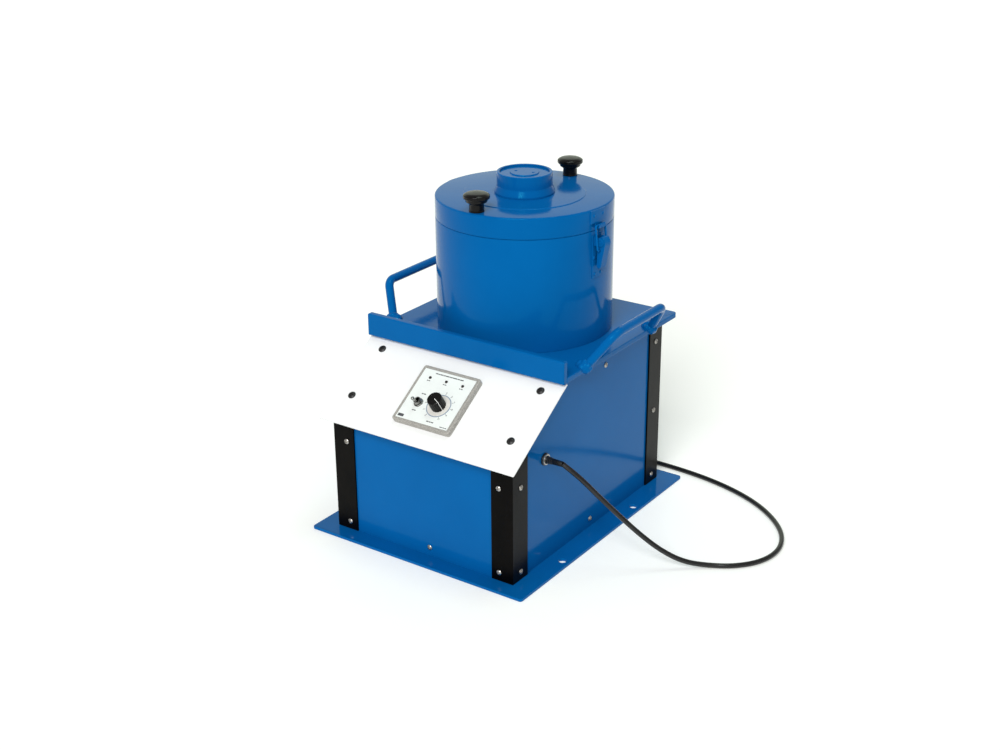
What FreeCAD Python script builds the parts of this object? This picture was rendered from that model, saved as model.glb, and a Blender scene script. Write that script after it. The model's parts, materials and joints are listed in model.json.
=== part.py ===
import FreeCAD, Part
import math
import os

from FreeCAD import Placement, Rotation, Vector

# Vibratory rock tumbler: a bowl on springs inside a latched drum, on a sheet-metal cabinet.
# Millimetres. The origin is the middle of the base plate's underside, +X is the machine's
# right, +Y its back and +Z up.

os.makedirs("parts", exist_ok=True)

# ---- driving dimensions --------------------------------------------------------------------

BASE_WIDTH = 432.0
BASE_DEPTH = 522.0
BASE_THICKNESS = 5.0
BASE_CORNER_RADIUS = 5.0
MOUNT_HOLE_RADIUS = 6.75
MOUNT_HOLE_X = 203.0
MOUNT_HOLE_PITCH_Y = 230.0
MOUNT_PATTERN_Y = -6.0

CABINET_WIDTH = 362.0
CABINET_DEPTH = 464.0
POST_FLANGE = 42.0
POST_THICKNESS = 3.0
SHEET = 1.5

DECK_WIDTH = 395.0
DECK_TOP = 322.0
DECK_THICKNESS = 9.0
DECK_BACK = 255.0
LIP_FRONT = -114.0
LIP_THICKNESS = 10.0
LIP_HEIGHT = 39.0

PANEL_WIDTH = 394.0
PANEL_LENGTH = 182.0
PANEL_THICKNESS = 2.0
PANEL_SLOPE = 33.3
PANEL_FRONT_Y = -254.0
PANEL_FRONT_Z = 212.0

DRUM_Y = 70.0
DRUM_RADIUS = 150.0
DRUM_WALL = 2.5
DRUM_TURN = -4.0
DRUM_RIM = 514.7
LID_BOTTOM = 515.3
LID_TOP = 551.0
LID_RAISED = 1.2
LID_RAISED_RADIUS = 103.0
NECK_RADIUS = 46.5
NECK_TOP = 588.0
KNOB_CIRCLE = 134.0

CORD_RADIUS = 4.25
GLAND_Y = -138.0
GLAND_Z = 190.0

# ---- heights and faces that follow from them -----------------------------------------------

HALF_WIDTH = CABINET_WIDTH / 2
HALF_DEPTH = CABINET_DEPTH / 2
SKIN_X = HALF_WIDTH - POST_THICKNESS
SKIN_Y = HALF_DEPTH - POST_THICKNESS
DECK_BOTTOM = DECK_TOP - DECK_THICKNESS
LID_FACE = LID_TOP + LID_RAISED
AXIS = Vector(0, DRUM_Y, 0)
UP = Vector(0, 0, 1)
PANEL_FRAME = Placement(
    Vector(0, PANEL_FRONT_Y, PANEL_FRONT_Z), Rotation(Vector(1, 0, 0), PANEL_SLOPE)
)

# ---- helpers -------------------------------------------------------------------------------


def export(name, *solids):
    """Write one node: a single solid, or a group of separate solids."""
    shape = solids[0] if len(solids) == 1 else Part.makeCompound(list(solids))
    shape.exportStep(f"parts/{name}.step")


def block(x, y, z):
    """A box from its two limits along each axis."""
    corner = Vector(x[0], y[0], z[0])
    return Part.makeBox(x[1] - x[0], y[1] - y[0], z[1] - z[0], corner)


def disc(radius, z, centre=Vector(0, 0, 0)):
    """An upright cylinder between two heights."""
    foot = Vector(centre.x, centre.y, z[0])
    return Part.makeCylinder(radius, z[1] - z[0], foot, UP)


def ring(outer, inner, z, centre=Vector(0, 0, 0)):
    """An upright tube between two heights."""
    return disc(outer, z, centre).cut(disc(inner, z, centre))


def rod(radius, start, end):
    """A round bar between two points."""
    along = end - start
    return Part.makeCylinder(radius, along.Length, start, along)


def outline(points):
    """A closed wire through (x, z) points. An ("arc", x, z) entry is the middle of an arc that
    ends at the next point."""
    edges = []
    path = list(points) + [points[0]]
    here = Vector(path[0][0], 0, path[0][1])
    middle = None
    for entry in path[1:]:
        if entry[0] == "arc":
            middle = Vector(entry[1], 0, entry[2])
            continue
        there = Vector(entry[0], 0, entry[1])
        if middle is None:
            edges.append(Part.LineSegment(here, there).toShape())
        else:
            edges.append(Part.Arc(here, middle, there).toShape())
        here = there
        middle = None
    return Part.Wire(edges)


def turned(points, centre=Vector(0, 0, 0)):
    """A solid of revolution about an upright axis, from an outline of (radius, height)."""
    solid = Part.Face(outline(points)).revolve(Vector(0, 0, 0), UP, 360)
    solid.translate(Vector(centre.x, centre.y, 0))
    return solid


def dome(radius, z, rise):
    """The end of an outline: a spherical cap from its rim at (radius, z) in to the axis."""
    sphere = (radius**2 + rise**2) / (2 * rise)
    middle = math.sqrt(sphere**2 - radius**2 / 4) - (sphere - rise)
    return [(radius, z), ("arc", radius / 2, z + middle), (0, z + rise)]


def pressed(points, width):
    """An outline of (x, z) made into a solid of the given width about y = 0."""
    face = Part.Face(outline(points))
    solid = face.extrude(Vector(0, width, 0))
    solid.translate(Vector(0, -width / 2, 0))
    return solid


def rounded(shape, radius, chosen):
    """Fillet the edges that the test picks."""
    return shape.makeFillet(radius, [edge for edge in shape.Edges if chosen(edge)])


def runs_along(axis):
    """A test for straight edges that run along X, Y or Z."""

    def test(edge):
        straight = isinstance(edge.Curve, (Part.Line, Part.LineSegment))
        return straight and abs(abs(edge.tangentAt(edge.FirstParameter).dot(axis)) - 1) < 1e-6

    return test


def hexagon(across, z, centre=Vector(0, 0, 0)):
    """A hexagonal prism, across its flats, between two heights."""
    radius = across / math.sqrt(3)
    corners = [
        Vector(
            centre.x + radius * math.cos(math.radians(60 * i)),
            centre.y + radius * math.sin(math.radians(60 * i)),
            z[0],
        )
        for i in range(7)
    ]
    return Part.Face(Part.makePolygon(corners)).extrude(Vector(0, 0, z[1] - z[0]))


def placed(shape, position, direction=UP):
    """A copy of a shape made about the origin along +Z, put at a point and pointed outwards."""
    copy = shape.copy()
    copy.Placement = Placement(position, Rotation(UP, direction))
    return copy


def on_panel(shape):
    """Move a shape from the control panel's own frame to the machine's."""
    copy = shape.copy()
    copy.Placement = PANEL_FRAME.multiply(copy.Placement)
    return copy


def about_drum(shape, degrees):
    """Turn a shape about the drum's axis, from a frame with the origin on that axis."""
    copy = shape.copy()
    copy.rotate(Vector(0, 0, 0), UP, degrees)
    copy.translate(AXIS)
    return copy


def around(count, radius, first_degrees=0.0):
    """Evenly spaced points on a circle about the drum's axis."""
    angles = [math.radians(first_degrees + 360.0 * i / count) for i in range(count)]
    return [AXIS + Vector(radius * math.cos(a), radius * math.sin(a), 0) for a in angles]


def pan_screw(head_radius, head_height, shank_radius, shank_length):
    """A domed screw with a cross recess: the head stands on z = 0, the shank goes below."""
    edge = 0.3 * head_height
    head = turned([(0, 0), (head_radius, 0)] + dome(head_radius, edge, head_height - edge))
    reach = 0.55 * head_radius
    arm = 0.13 * head_radius
    recess_z = (0.5 * head_height, head_height + 1)
    recess = block((-reach, reach), (-arm, arm), recess_z).fuse(
        block((-arm, arm), (-reach, reach), recess_z)
    )
    return head.cut(recess).fuse(disc(shank_radius, (-shank_length, 0)))


def tangent_path(points, bend_radius=None):
    """Straight runs joined by tangent arcs, and the arcs' radii. Without a given radius each arc
    is as large as its two runs allow: 0.45 of the shorter run over the tangent of half the turn."""
    edges = []
    radii = []
    here = points[0]
    for before, corner, after in zip(points, points[1:], points[2:]):
        back = (before - corner).normalize()
        ahead = (after - corner).normalize()
        half_turn = (math.pi - back.getAngle(ahead)) / 2
        shorter = min((before - corner).Length, (after - corner).Length)
        radius = bend_radius or 0.45 * shorter / math.tan(half_turn)
        setback = radius * math.tan(half_turn)
        start = corner + back * setback
        end = corner + ahead * setback
        inward = (back + ahead).normalize()
        middle = corner + inward * (radius / math.cos(half_turn) - radius)
        edges.append(Part.LineSegment(here, start).toShape())
        edges.append(Part.Arc(start, middle, end).toShape())
        radii.append(radius)
        here = end
    edges.append(Part.LineSegment(here, points[-1]).toShape())
    return Part.Wire(edges), radii


def bent_rod(points, radius, bend_radius=None):
    """A round bar or cord along a path of runs and arcs."""
    path = tangent_path(points, bend_radius)[0]
    along = points[1] - points[0]
    section = Part.Wire(Part.makeCircle(radius, points[0], along))
    return path.makePipeShell([section], True, False)


# ---- where the screws of the cabinet go ----------------------------------------------------

POST_SCREW_X = 154.0
POST_SCREW_Y = 210.0
LOW_SCREW_Z = 20.0
FRONT_HIGH_SCREW_Z = 170.0
REAR_SCREW_HEIGHTS = (LOW_SCREW_Z, 147.0, 278.0)
SKIRT_SCREW_X = 13.0
SIDE_LOW_SCREW_Y = 4.0
SIDE_HIGH_SCREW_Y = 46.0
SIDE_HIGH_SCREW_Z = 289.0
CABINET_SCREW_SHANK = 2.5
CABINET_SCREW_LENGTH = 9.5

cabinet_screw_seats = []
for side in (-1, 1):
    outward = Vector(side, 0, 0)
    for z in (LOW_SCREW_Z, FRONT_HIGH_SCREW_Z):
        cabinet_screw_seats.append((Vector(side * POST_SCREW_X, -HALF_DEPTH, z), Vector(0, -1, 0)))
        cabinet_screw_seats.append((Vector(side * HALF_WIDTH, -POST_SCREW_Y, z), outward))
    for z in REAR_SCREW_HEIGHTS:
        cabinet_screw_seats.append((Vector(side * POST_SCREW_X, HALF_DEPTH, z), Vector(0, 1, 0)))
        cabinet_screw_seats.append((Vector(side * HALF_WIDTH, POST_SCREW_Y, z), outward))
    cabinet_screw_seats.append((Vector(side * SKIN_X, SIDE_LOW_SCREW_Y, LOW_SCREW_Z), outward))
    cabinet_screw_seats.append(
        (Vector(side * SKIN_X, SIDE_HIGH_SCREW_Y, SIDE_HIGH_SCREW_Z), outward)
    )
cabinet_screw_seats.append((Vector(SKIRT_SCREW_X, -SKIN_Y, LOW_SCREW_Z), Vector(0, -1, 0)))
cabinet_screw_seats.append((Vector(SKIRT_SCREW_X, SKIN_Y, LOW_SCREW_Z), Vector(0, 1, 0)))
cabinet_screw_seats.append((Vector(0, SKIN_Y, SIDE_HIGH_SCREW_Z), Vector(0, 1, 0)))

cabinet_screw_holes = Part.makeCompound(
    [
        rod(CABINET_SCREW_SHANK + 0.1, seat + out, seat - out * 14)
        for seat, out in cabinet_screw_seats
    ]
)

PANEL_SCREW_X = 160.0
PANEL_SCREW_S = (57.0, 157.0)
PANEL_SCREW_SHANK = 3.0
panel_screw_spots = [Vector(side * PANEL_SCREW_X, s, 0) for side in (-1, 1) for s in PANEL_SCREW_S]
panel_screw_holes = Part.makeCompound(
    [disc(PANEL_SCREW_SHANK + 0.2, (-12, 4), spot) for spot in panel_screw_spots]
)
above_panel_back = on_panel(block((-400, 400), (-300, 900), (-PANEL_THICKNESS, 600)))

# ---- base plate, corner posts and rails ----------------------------------------------------

base_plate = block(
    (-BASE_WIDTH / 2, BASE_WIDTH / 2), (-BASE_DEPTH / 2, BASE_DEPTH / 2), (0, BASE_THICKNESS)
)
base_plate = rounded(base_plate, BASE_CORNER_RADIUS, runs_along(UP))
for side in (-1, 1):
    for end in (-1, 1):
        spot = Vector(side * MOUNT_HOLE_X, MOUNT_PATTERN_Y + end * MOUNT_HOLE_PITCH_Y / 2, 0)
        base_plate = base_plate.cut(disc(MOUNT_HOLE_RADIUS, (-1, BASE_THICKNESS + 1), spot))
export("base_plate", base_plate)


def span(side, near, far):
    """Two distances from the middle, as limits along an axis on the chosen side."""
    return tuple(sorted((side * near, side * far)))


def corner_post(side, end):
    """An upright steel angle around a corner of the cabinet, outside its panels."""
    height = (BASE_THICKNESS, DECK_BOTTOM)
    across = block(
        span(side, HALF_WIDTH - POST_FLANGE, HALF_WIDTH), span(end, SKIN_Y, HALF_DEPTH), height
    )
    along = block(
        span(side, SKIN_X, HALF_WIDTH), span(end, HALF_DEPTH - POST_FLANGE, HALF_DEPTH), height
    )
    post = across.fuse(along).removeSplitter()
    return post.cut(cabinet_screw_holes).cut(above_panel_back)


for row, end in (("front", -1), ("rear", 1)):
    for hand, side in (("left", -1), ("right", 1)):
        export(f"post_{row}_{hand}", corner_post(side, end))

RAIL = 3.0
BASE_RAIL = 30.0
DECK_RAIL = 45.0
RAIL_X = SKIN_X - SHEET
RAIL_Y = SKIN_Y - SHEET
SIDE_RAIL_END = 220.0
CROSS_RAIL_END = 130.0
DECK_RAIL_START = -88.0


def side_rail(side, y, z_corner, size, up):
    """A steel angle along the inside of a side panel, with its ledge at z_corner."""
    z_wall = (z_corner, z_corner + size) if up else (z_corner - size, z_corner)
    z_ledge = (z_corner, z_corner + RAIL) if up else (z_corner - RAIL, z_corner)
    wall = block(span(side, RAIL_X - RAIL, RAIL_X), y, z_wall)
    return wall.fuse(block(span(side, RAIL_X - size, RAIL_X), y, z_ledge)).removeSplitter()


def cross_rail(end, z_corner, size, up):
    """A steel angle along the inside of the front or rear panel."""
    z_wall = (z_corner, z_corner + size) if up else (z_corner - size, z_corner)
    z_ledge = (z_corner, z_corner + RAIL) if up else (z_corner - RAIL, z_corner)
    x = (-CROSS_RAIL_END, CROSS_RAIL_END)
    wall = block(x, span(end, RAIL_Y - RAIL, RAIL_Y), z_wall)
    return wall.fuse(block(x, span(end, RAIL_Y - size, RAIL_Y), z_ledge)).removeSplitter()


base_rails = [
    side_rail(side, (-SIDE_RAIL_END, SIDE_RAIL_END), BASE_THICKNESS, BASE_RAIL, True)
    for side in (-1, 1)
]
base_rails += [cross_rail(end, BASE_THICKNESS, BASE_RAIL, True) for end in (-1, 1)]
export("base_rails", *[rail.cut(cabinet_screw_holes) for rail in base_rails])

deck_rails = [
    side_rail(side, (DECK_RAIL_START, SIDE_RAIL_END), DECK_BOTTOM, DECK_RAIL, False)
    for side in (-1, 1)
]
deck_rails.append(cross_rail(1, DECK_BOTTOM, DECK_RAIL, False))
deck_rails = [rail.cut(cabinet_screw_holes) for rail in deck_rails]


def panel_rail(side):
    """The sloping angle that the control panel is screwed to, in the panel's frame."""
    s = (38.0, 166.0)
    ledge = block(span(side, RAIL_X - 30, RAIL_X - 0.2), s, (-PANEL_THICKNESS - RAIL, -PANEL_THICKNESS))
    wall = block(
        span(side, RAIL_X - RAIL, RAIL_X - 0.2), s, (-PANEL_THICKNESS - 25, -PANEL_THICKNESS)
    )
    return ledge.fuse(wall).removeSplitter().cut(panel_screw_holes)


export("upper_rails", *deck_rails, *[on_panel(panel_rail(side)) for side in (-1, 1)])

# ---- cabinet panels ------------------------------------------------------------------------

GLAND_THREAD_RADIUS = 8.0
cabinet_height = (BASE_THICKNESS, DECK_BOTTOM)
cross_x = (-RAIL_X + 0.2, RAIL_X - 0.2)


def finished_panel(sheet):
    """A cabinet sheet with its screw holes, trimmed to the slope of the control panel."""
    return sheet.cut(cabinet_screw_holes).cut(above_panel_back)


export("front_panel", finished_panel(block(cross_x, (-SKIN_Y, -RAIL_Y), cabinet_height)))

side_sheets = {
    hand: finished_panel(block(span(side, RAIL_X, SKIN_X), (-SKIN_Y, SKIN_Y), cabinet_height))
    for hand, side in (("left", -1), ("right", 1))
}
gland_hole = rod(
    GLAND_THREAD_RADIUS + 0.1, Vector(RAIL_X - 5, GLAND_Y, GLAND_Z), Vector(SKIN_X + 5, GLAND_Y, GLAND_Z)
)
export("left_panel", side_sheets["left"])
export("right_panel", side_sheets["right"].cut(gland_hole))

VENT_ROWS = 6
VENT_PITCH = 16.0
VENT_LENGTH = 90.0
VENT_RADIUS = 2.5
VENT_X = 75.0
VENT_Z = 90.0


def vent(x, z):
    """One round-ended cooling slot through the rear panel."""
    reach = VENT_LENGTH / 2 - VENT_RADIUS
    y = (RAIL_Y - 1, SKIN_Y + 1)
    slot = block((x - reach, x + reach), y, (z - VENT_RADIUS, z + VENT_RADIUS))
    for end in (-reach, reach):
        slot = slot.fuse(rod(VENT_RADIUS, Vector(x + end, y[0], z), Vector(x + end, y[1], z)))
    return slot


rear_panel = finished_panel(block(cross_x, (RAIL_Y, SKIN_Y), cabinet_height))
for row in range(VENT_ROWS):
    for x in (-VENT_X, VENT_X):
        rear_panel = rear_panel.cut(vent(x, VENT_Z + VENT_PITCH * row))
export("rear_panel", rear_panel)

cabinet_screw = pan_screw(4.7, 2.9, CABINET_SCREW_SHANK, CABINET_SCREW_LENGTH)
export("cabinet_screws", *[placed(cabinet_screw, seat, out) for seat, out in cabinet_screw_seats])

# ---- control panel -------------------------------------------------------------------------

KNOB_SPOT = Vector(12.7, 76.5, 0)
TOGGLE_SPOT = Vector(-25.8, 72.8, 0)
POT_RADIUS = 11.0
TOGGLE_BODY = (13.0, 20.0)


def toggle_block(margin, n):
    """A block the size of the toggle switch's body, grown by a margin all round."""
    half_x = TOGGLE_BODY[0] / 2 + margin
    half_s = TOGGLE_BODY[1] / 2 + margin
    return block(
        (TOGGLE_SPOT.x - half_x, TOGGLE_SPOT.x + half_x),
        (TOGGLE_SPOT.y - half_s, TOGGLE_SPOT.y + half_s),
        n,
    )


control_openings = disc(POT_RADIUS + 0.6, (-5, 8.8), KNOB_SPOT).fuse(toggle_block(0.6, (-5, 8.8)))
control_panel = block(
    (-PANEL_WIDTH / 2, PANEL_WIDTH / 2), (0, PANEL_LENGTH), (-PANEL_THICKNESS, 0)
)
control_panel = rounded(control_panel, 2.0, runs_along(UP))
control_panel = control_panel.cut(control_openings).cut(panel_screw_holes)
export("control_panel", on_panel(control_panel))

panel_screw = pan_screw(6.8, 3.4, PANEL_SCREW_SHANK, 10.0)
export("control_panel_screws", *[on_panel(placed(panel_screw, spot)) for spot in panel_screw_spots])

# ---- speed drive on the control panel ------------------------------------------------------

DRIVE_X = (-57.0, 57.0)
DRIVE_S = (32.5, 144.5)
DRIVE_HEIGHT = 10.0
FACE_X = (-51.2, 51.2)
FACE_S = (37.8, 138.2)
FACE_THICKNESS = 1.2
FACE_BACK = DRIVE_HEIGHT - FACE_THICKNESS
LAMP_X = (-32.6, 0.0, 32.6)
LAMP_S = 122.6
LAMP_RADIUS = 2.5
BUSHING_RADIUS = 6.0
POT_BUSHING_RADIUS = 4.5
POT_SHAFT_RADIUS = 3.0
PIVOT_CLEARANCE = 0.06

bezel = block(DRIVE_X, DRIVE_S, (0, DRIVE_HEIGHT))
bezel = rounded(bezel, 5.0, runs_along(UP))
bezel = rounded(bezel, 2.2, lambda edge: edge.CenterOfMass.z > DRIVE_HEIGHT - 0.01)
bezel = bezel.cut(block(FACE_X, FACE_S, (FACE_BACK, DRIVE_HEIGHT + 1))).cut(control_openings)
export("speed_drive_bezel", on_panel(bezel))

faceplate = block(FACE_X, FACE_S, (FACE_BACK, DRIVE_HEIGHT))
lamp_spots = [Vector(x, LAMP_S, 0) for x in LAMP_X]
for spot, radius in [(KNOB_SPOT, POT_BUSHING_RADIUS), (TOGGLE_SPOT, BUSHING_RADIUS)]:
    faceplate = faceplate.cut(disc(radius + 0.1, (0, 20), spot))
for spot in lamp_spots:
    faceplate = faceplate.cut(disc(LAMP_RADIUS + 0.1, (0, 20), spot))
export("speed_drive_faceplate", on_panel(faceplate))

lamps = [
    disc(LAMP_RADIUS, (FACE_BACK, DRIVE_HEIGHT), spot).fuse(
        Part.makeSphere(LAMP_RADIUS, spot + Vector(0, 0, DRIVE_HEIGHT), UP, 0, 90, 360)
    )
    for spot in lamp_spots
]
export("indicator_lamps", *[on_panel(lamp) for lamp in lamps])

case_outer = block((-48, 48), (42, 136), (-48, -PANEL_THICKNESS))
case_inner = block((-46, 46), (44, 134), (-46, -PANEL_THICKNESS + 1))
export("speed_drive_case", on_panel(case_outer.cut(case_inner)))

pot_body = disc(POT_RADIUS, (-8, FACE_BACK - 0.2), KNOB_SPOT)
pot_body = pot_body.fuse(disc(POT_BUSHING_RADIUS, (0, 11.2), KNOB_SPOT))
pot_bore = disc(POT_SHAFT_RADIUS + PIVOT_CLEARANCE, (-6, 20), KNOB_SPOT)
export("speed_potentiometer", on_panel(pot_body.cut(pot_bore)))

KNOB_BOTTOM = 11.6
KNOB_HEIGHT = 31.5
speed_knob = turned(
    [
        (0, KNOB_HEIGHT),
        (11.4, KNOB_HEIGHT),
        ("arc", 12.3, KNOB_HEIGHT - 0.4),
        (12.7, KNOB_HEIGHT - 1.3),
        (13.2, 15.0),
        (14.2, 13.4),
        (14.2, KNOB_BOTTOM),
        (POT_SHAFT_RADIUS, KNOB_BOTTOM),
        (POT_SHAFT_RADIUS, KNOB_HEIGHT - 5),
        (0, KNOB_HEIGHT - 5),
    ],
    KNOB_SPOT,
)
pot_shaft = disc(POT_SHAFT_RADIUS, (-5, KNOB_HEIGHT - 5), KNOB_SPOT)
export("speed_knob", on_panel(speed_knob), on_panel(pot_shaft))

TOGGLE_PIVOT_N = 12.0
TOGGLE_THROW = 18.0
TOGGLE_BORE = 4.5
toggle_case = toggle_block(0, (-14, FACE_BACK - 0.2))
toggle_case = toggle_case.fuse(disc(BUSHING_RADIUS, (0, 17.5), TOGGLE_SPOT))
toggle_case = toggle_case.cut(disc(TOGGLE_BORE, (5, 20), TOGGLE_SPOT))
toggle_nut = hexagon(14.0, (DRIVE_HEIGHT, 12.4), TOGGLE_SPOT)
toggle_nut = toggle_nut.cut(disc(BUSHING_RADIUS, (0, 20), TOGGLE_SPOT))
export("toggle_switch_body", on_panel(toggle_case), on_panel(toggle_nut))

toggle_lever = Part.makeCone(1.5, 3.0, 18.0)
toggle_lever = toggle_lever.fuse(Part.makeSphere(3.0, Vector(0, 0, 18.0)))
toggle_lever = toggle_lever.fuse(Part.makeSphere(3.0))
toggle_lever = toggle_lever.fuse(rod(1.2, Vector(-4.0, 0, 0), Vector(4.0, 0, 0)))
toggle_lever.rotate(Vector(0, 0, 0), Vector(1, 0, 0), TOGGLE_THROW)
toggle_lever.translate(TOGGLE_SPOT + Vector(0, 0, TOGGLE_PIVOT_N))
export("toggle_lever", on_panel(toggle_lever))

# ---- deck, its front lip and the carry handles ---------------------------------------------

DECK_OPENING = 85.0
DRUM_BOLT_CIRCLE = 136.0
DRUM_BOLT_RADIUS = 4.0
half_deck = DECK_WIDTH / 2
drum_bolt_spots = around(4, DRUM_BOLT_CIRCLE, 45)

deck = block(
    (-half_deck, half_deck), (LIP_FRONT + LIP_THICKNESS, DECK_BACK), (DECK_BOTTOM, DECK_TOP)
)
deck = rounded(deck, 8.0, lambda edge: runs_along(UP)(edge) and edge.CenterOfMass.y > 0)
deck = deck.cut(disc(DECK_OPENING, (DECK_BOTTOM - 1, DECK_TOP + 1), AXIS))
for spot in drum_bolt_spots:
    deck = deck.cut(disc(DRUM_BOLT_RADIUS + 0.2, (DECK_BOTTOM - 1, DECK_TOP + 1), spot))
export("deck_plate", deck)

lip_z = (DECK_BOTTOM, DECK_BOTTOM + LIP_HEIGHT)
lip = block((-half_deck, half_deck), (LIP_FRONT, LIP_FRONT + LIP_THICKNESS), lip_z)
lip = rounded(
    lip, 3.0, lambda edge: runs_along(Vector(0, 1, 0))(edge) and edge.CenterOfMass.z > DECK_TOP
)
lip = rounded(lip, 2.0, lambda edge: edge.CenterOfMass.y < LIP_FRONT + 0.01)
export("deck_lip", lip)

HANDLE_FEET_Y = (-46.0, 164.0)
HANDLE_TOPS_Y = (-13.0, 139.0)
HANDLE_FOOT_X = 196.0
HANDLE_BAR_X = 231.0
HANDLE_BAR_Z = 375.0
HANDLE_RADIUS = 7.5
HANDLE_BEND = 22.0
WELD_RADIUS = 12.0
WELD_TAIL_RADIUS = 9.5
WELD_TAIL_REACH = 9.0


def carry_handle(side):
    """A bent steel rod that leans outwards, welded to the deck's edge at both feet."""
    feet = [Vector(side * HANDLE_FOOT_X, y, DECK_TOP) for y in HANDLE_FEET_Y]
    tops = [Vector(side * HANDLE_BAR_X, y, HANDLE_BAR_Z) for y in HANDLE_TOPS_Y]
    handle = bent_rod([feet[0], tops[0], tops[1], feet[1]], HANDLE_RADIUS, HANDLE_BEND)
    for foot, top in zip(feet, tops):
        lean = (top - foot).normalize()
        weld = Part.makeCone(WELD_RADIUS, HANDLE_RADIUS + 0.2, 15, foot - lean * 2, lean)
        handle = handle.fuse(weld).fuse(Part.makeSphere(WELD_RADIUS, foot - lean * 2))
        tail_centre = foot - Vector(side * WELD_TAIL_REACH, 0, 0)
        handle = handle.fuse(Part.makeSphere(WELD_TAIL_RADIUS, tail_centre))
    under_deck = block((-400, 400), (-400, 400), (DECK_BOTTOM - 50, DECK_BOTTOM + 1.5))
    return handle.cut(deck).cut(under_deck)


for hand, side in (("left", -1), ("right", 1)):
    export(f"carry_handle_{hand}", carry_handle(side))

# ---- drum, lid, filler neck and knobs ------------------------------------------------------

LATCH_TURNS = (DRUM_TURN, DRUM_TURN + 180)
KNOB_TURNS = (-91.0, 88.0)
inner_wall = DRUM_RADIUS - DRUM_WALL
RIM_INNER = 141.0
FLANGE_INNER = 125.0
RIVET_RADIUS = 2.0
RIVET_HEAD_RADIUS = 3.3
RIVET_HEAD_HEIGHT = 1.6
KEEPER_RIVETS = ((-12.0, 540.5), (12.0, 540.5))
BASE_RIVETS = ((-8.0, 441.0), (8.0, 441.0), (-10.5, 470.0), (10.5, 470.0))


def rivets(spots, surface):
    """Rivets through the wall in the latch's frame: x outwards, y sideways, z up."""
    out = []
    for y, z in spots:
        rivet = turned([(0, 0)] + dome(RIVET_HEAD_RADIUS, 0, RIVET_HEAD_HEIGHT))
        rivet = rivet.fuse(disc(RIVET_RADIUS, (-surface - DRUM_WALL, 0)))
        x = math.sqrt((DRUM_RADIUS + surface) ** 2 - y * y)
        out.append(placed(rivet, Vector(x, y, z), Vector(x, y, 0)))
    return out


KEEPER_THICKNESS = 2.0
LATCH_PLATE = 1.5
keeper_rivets = [
    about_drum(rivet, turn)
    for turn in LATCH_TURNS
    for rivet in rivets(KEEPER_RIVETS, KEEPER_THICKNESS)
]
base_rivets = [
    about_drum(rivet, turn)
    for turn in LATCH_TURNS
    for rivet in rivets(BASE_RIVETS, LATCH_PLATE)
]
export("keeper_rivets", *keeper_rivets)
export("latch_base_rivets", *base_rivets)

drum_shell = turned(
    [
        (FLANGE_INNER, DECK_TOP),
        (DRUM_RADIUS, DECK_TOP),
        (DRUM_RADIUS, DRUM_RIM),
        (RIM_INNER, DRUM_RIM),
        (RIM_INNER, DRUM_RIM - 6),
        (inner_wall, DRUM_RIM - 6),
        (inner_wall, DECK_TOP + 4),
        (FLANGE_INNER, DECK_TOP + 4),
    ],
    AXIS,
)
for spot in drum_bolt_spots:
    drum_shell = drum_shell.cut(disc(DRUM_BOLT_RADIUS + 0.2, (DECK_TOP - 1, DECK_TOP + 5), spot))
export("drum_shell", drum_shell.cut(Part.makeCompound(base_rivets)))

drum_bolts = []
for spot in drum_bolt_spots:
    bolt = disc(DRUM_BOLT_RADIUS, (DECK_BOTTOM - 12, DECK_TOP + 4), spot)
    bolt = bolt.fuse(hexagon(13.0, (DECK_TOP + 4, DECK_TOP + 9.3), spot))
    nut = hexagon(13.0, (DECK_BOTTOM - 6.5, DECK_BOTTOM), spot)
    drum_bolts += [bolt, nut.cut(disc(DRUM_BOLT_RADIUS, (0, DECK_TOP), spot))]
export("drum_bolts", *drum_bolts)

LID_UNDERSIDE = LID_TOP - DRUM_WALL
NECK_OPENING = 36.0
LEDGE_BOTTOM = 519.0
lid = turned(
    [
        (NECK_OPENING, LID_UNDERSIDE),
        (NECK_OPENING, LID_FACE),
        (LID_RAISED_RADIUS - LID_RAISED, LID_FACE),
        (LID_RAISED_RADIUS, LID_TOP),
        (DRUM_RADIUS - 2.5, LID_TOP),
        ("arc", DRUM_RADIUS - 0.73, LID_TOP - 0.73),
        (DRUM_RADIUS, LID_TOP - 2.5),
        (DRUM_RADIUS, LID_BOTTOM),
        (inner_wall, LID_BOTTOM),
        (inner_wall, LEDGE_BOTTOM),
        (RIM_INNER, LEDGE_BOTTOM),
        (RIM_INNER, LEDGE_BOTTOM + 3),
        (inner_wall, LEDGE_BOTTOM + 3),
        (inner_wall, LID_UNDERSIDE),
    ],
    AXIS,
)
KNOB_SCREW_RADIUS = 4.0
knob_spots = [
    AXIS + Vector(KNOB_CIRCLE * math.cos(math.radians(a)), KNOB_CIRCLE * math.sin(math.radians(a)), 0)
    for a in KNOB_TURNS
]
for spot in knob_spots:
    lid = lid.cut(disc(KNOB_SCREW_RADIUS + 0.1, (LID_UNDERSIDE - 1, LID_TOP + 1), spot))
export("drum_lid", lid.cut(Part.makeCompound(keeper_rivets)))
export("lid_gasket", ring(inner_wall - 0.2, RIM_INNER + 0.3, (DRUM_RIM + 0.3, LEDGE_BOTTOM), AXIS))

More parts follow.
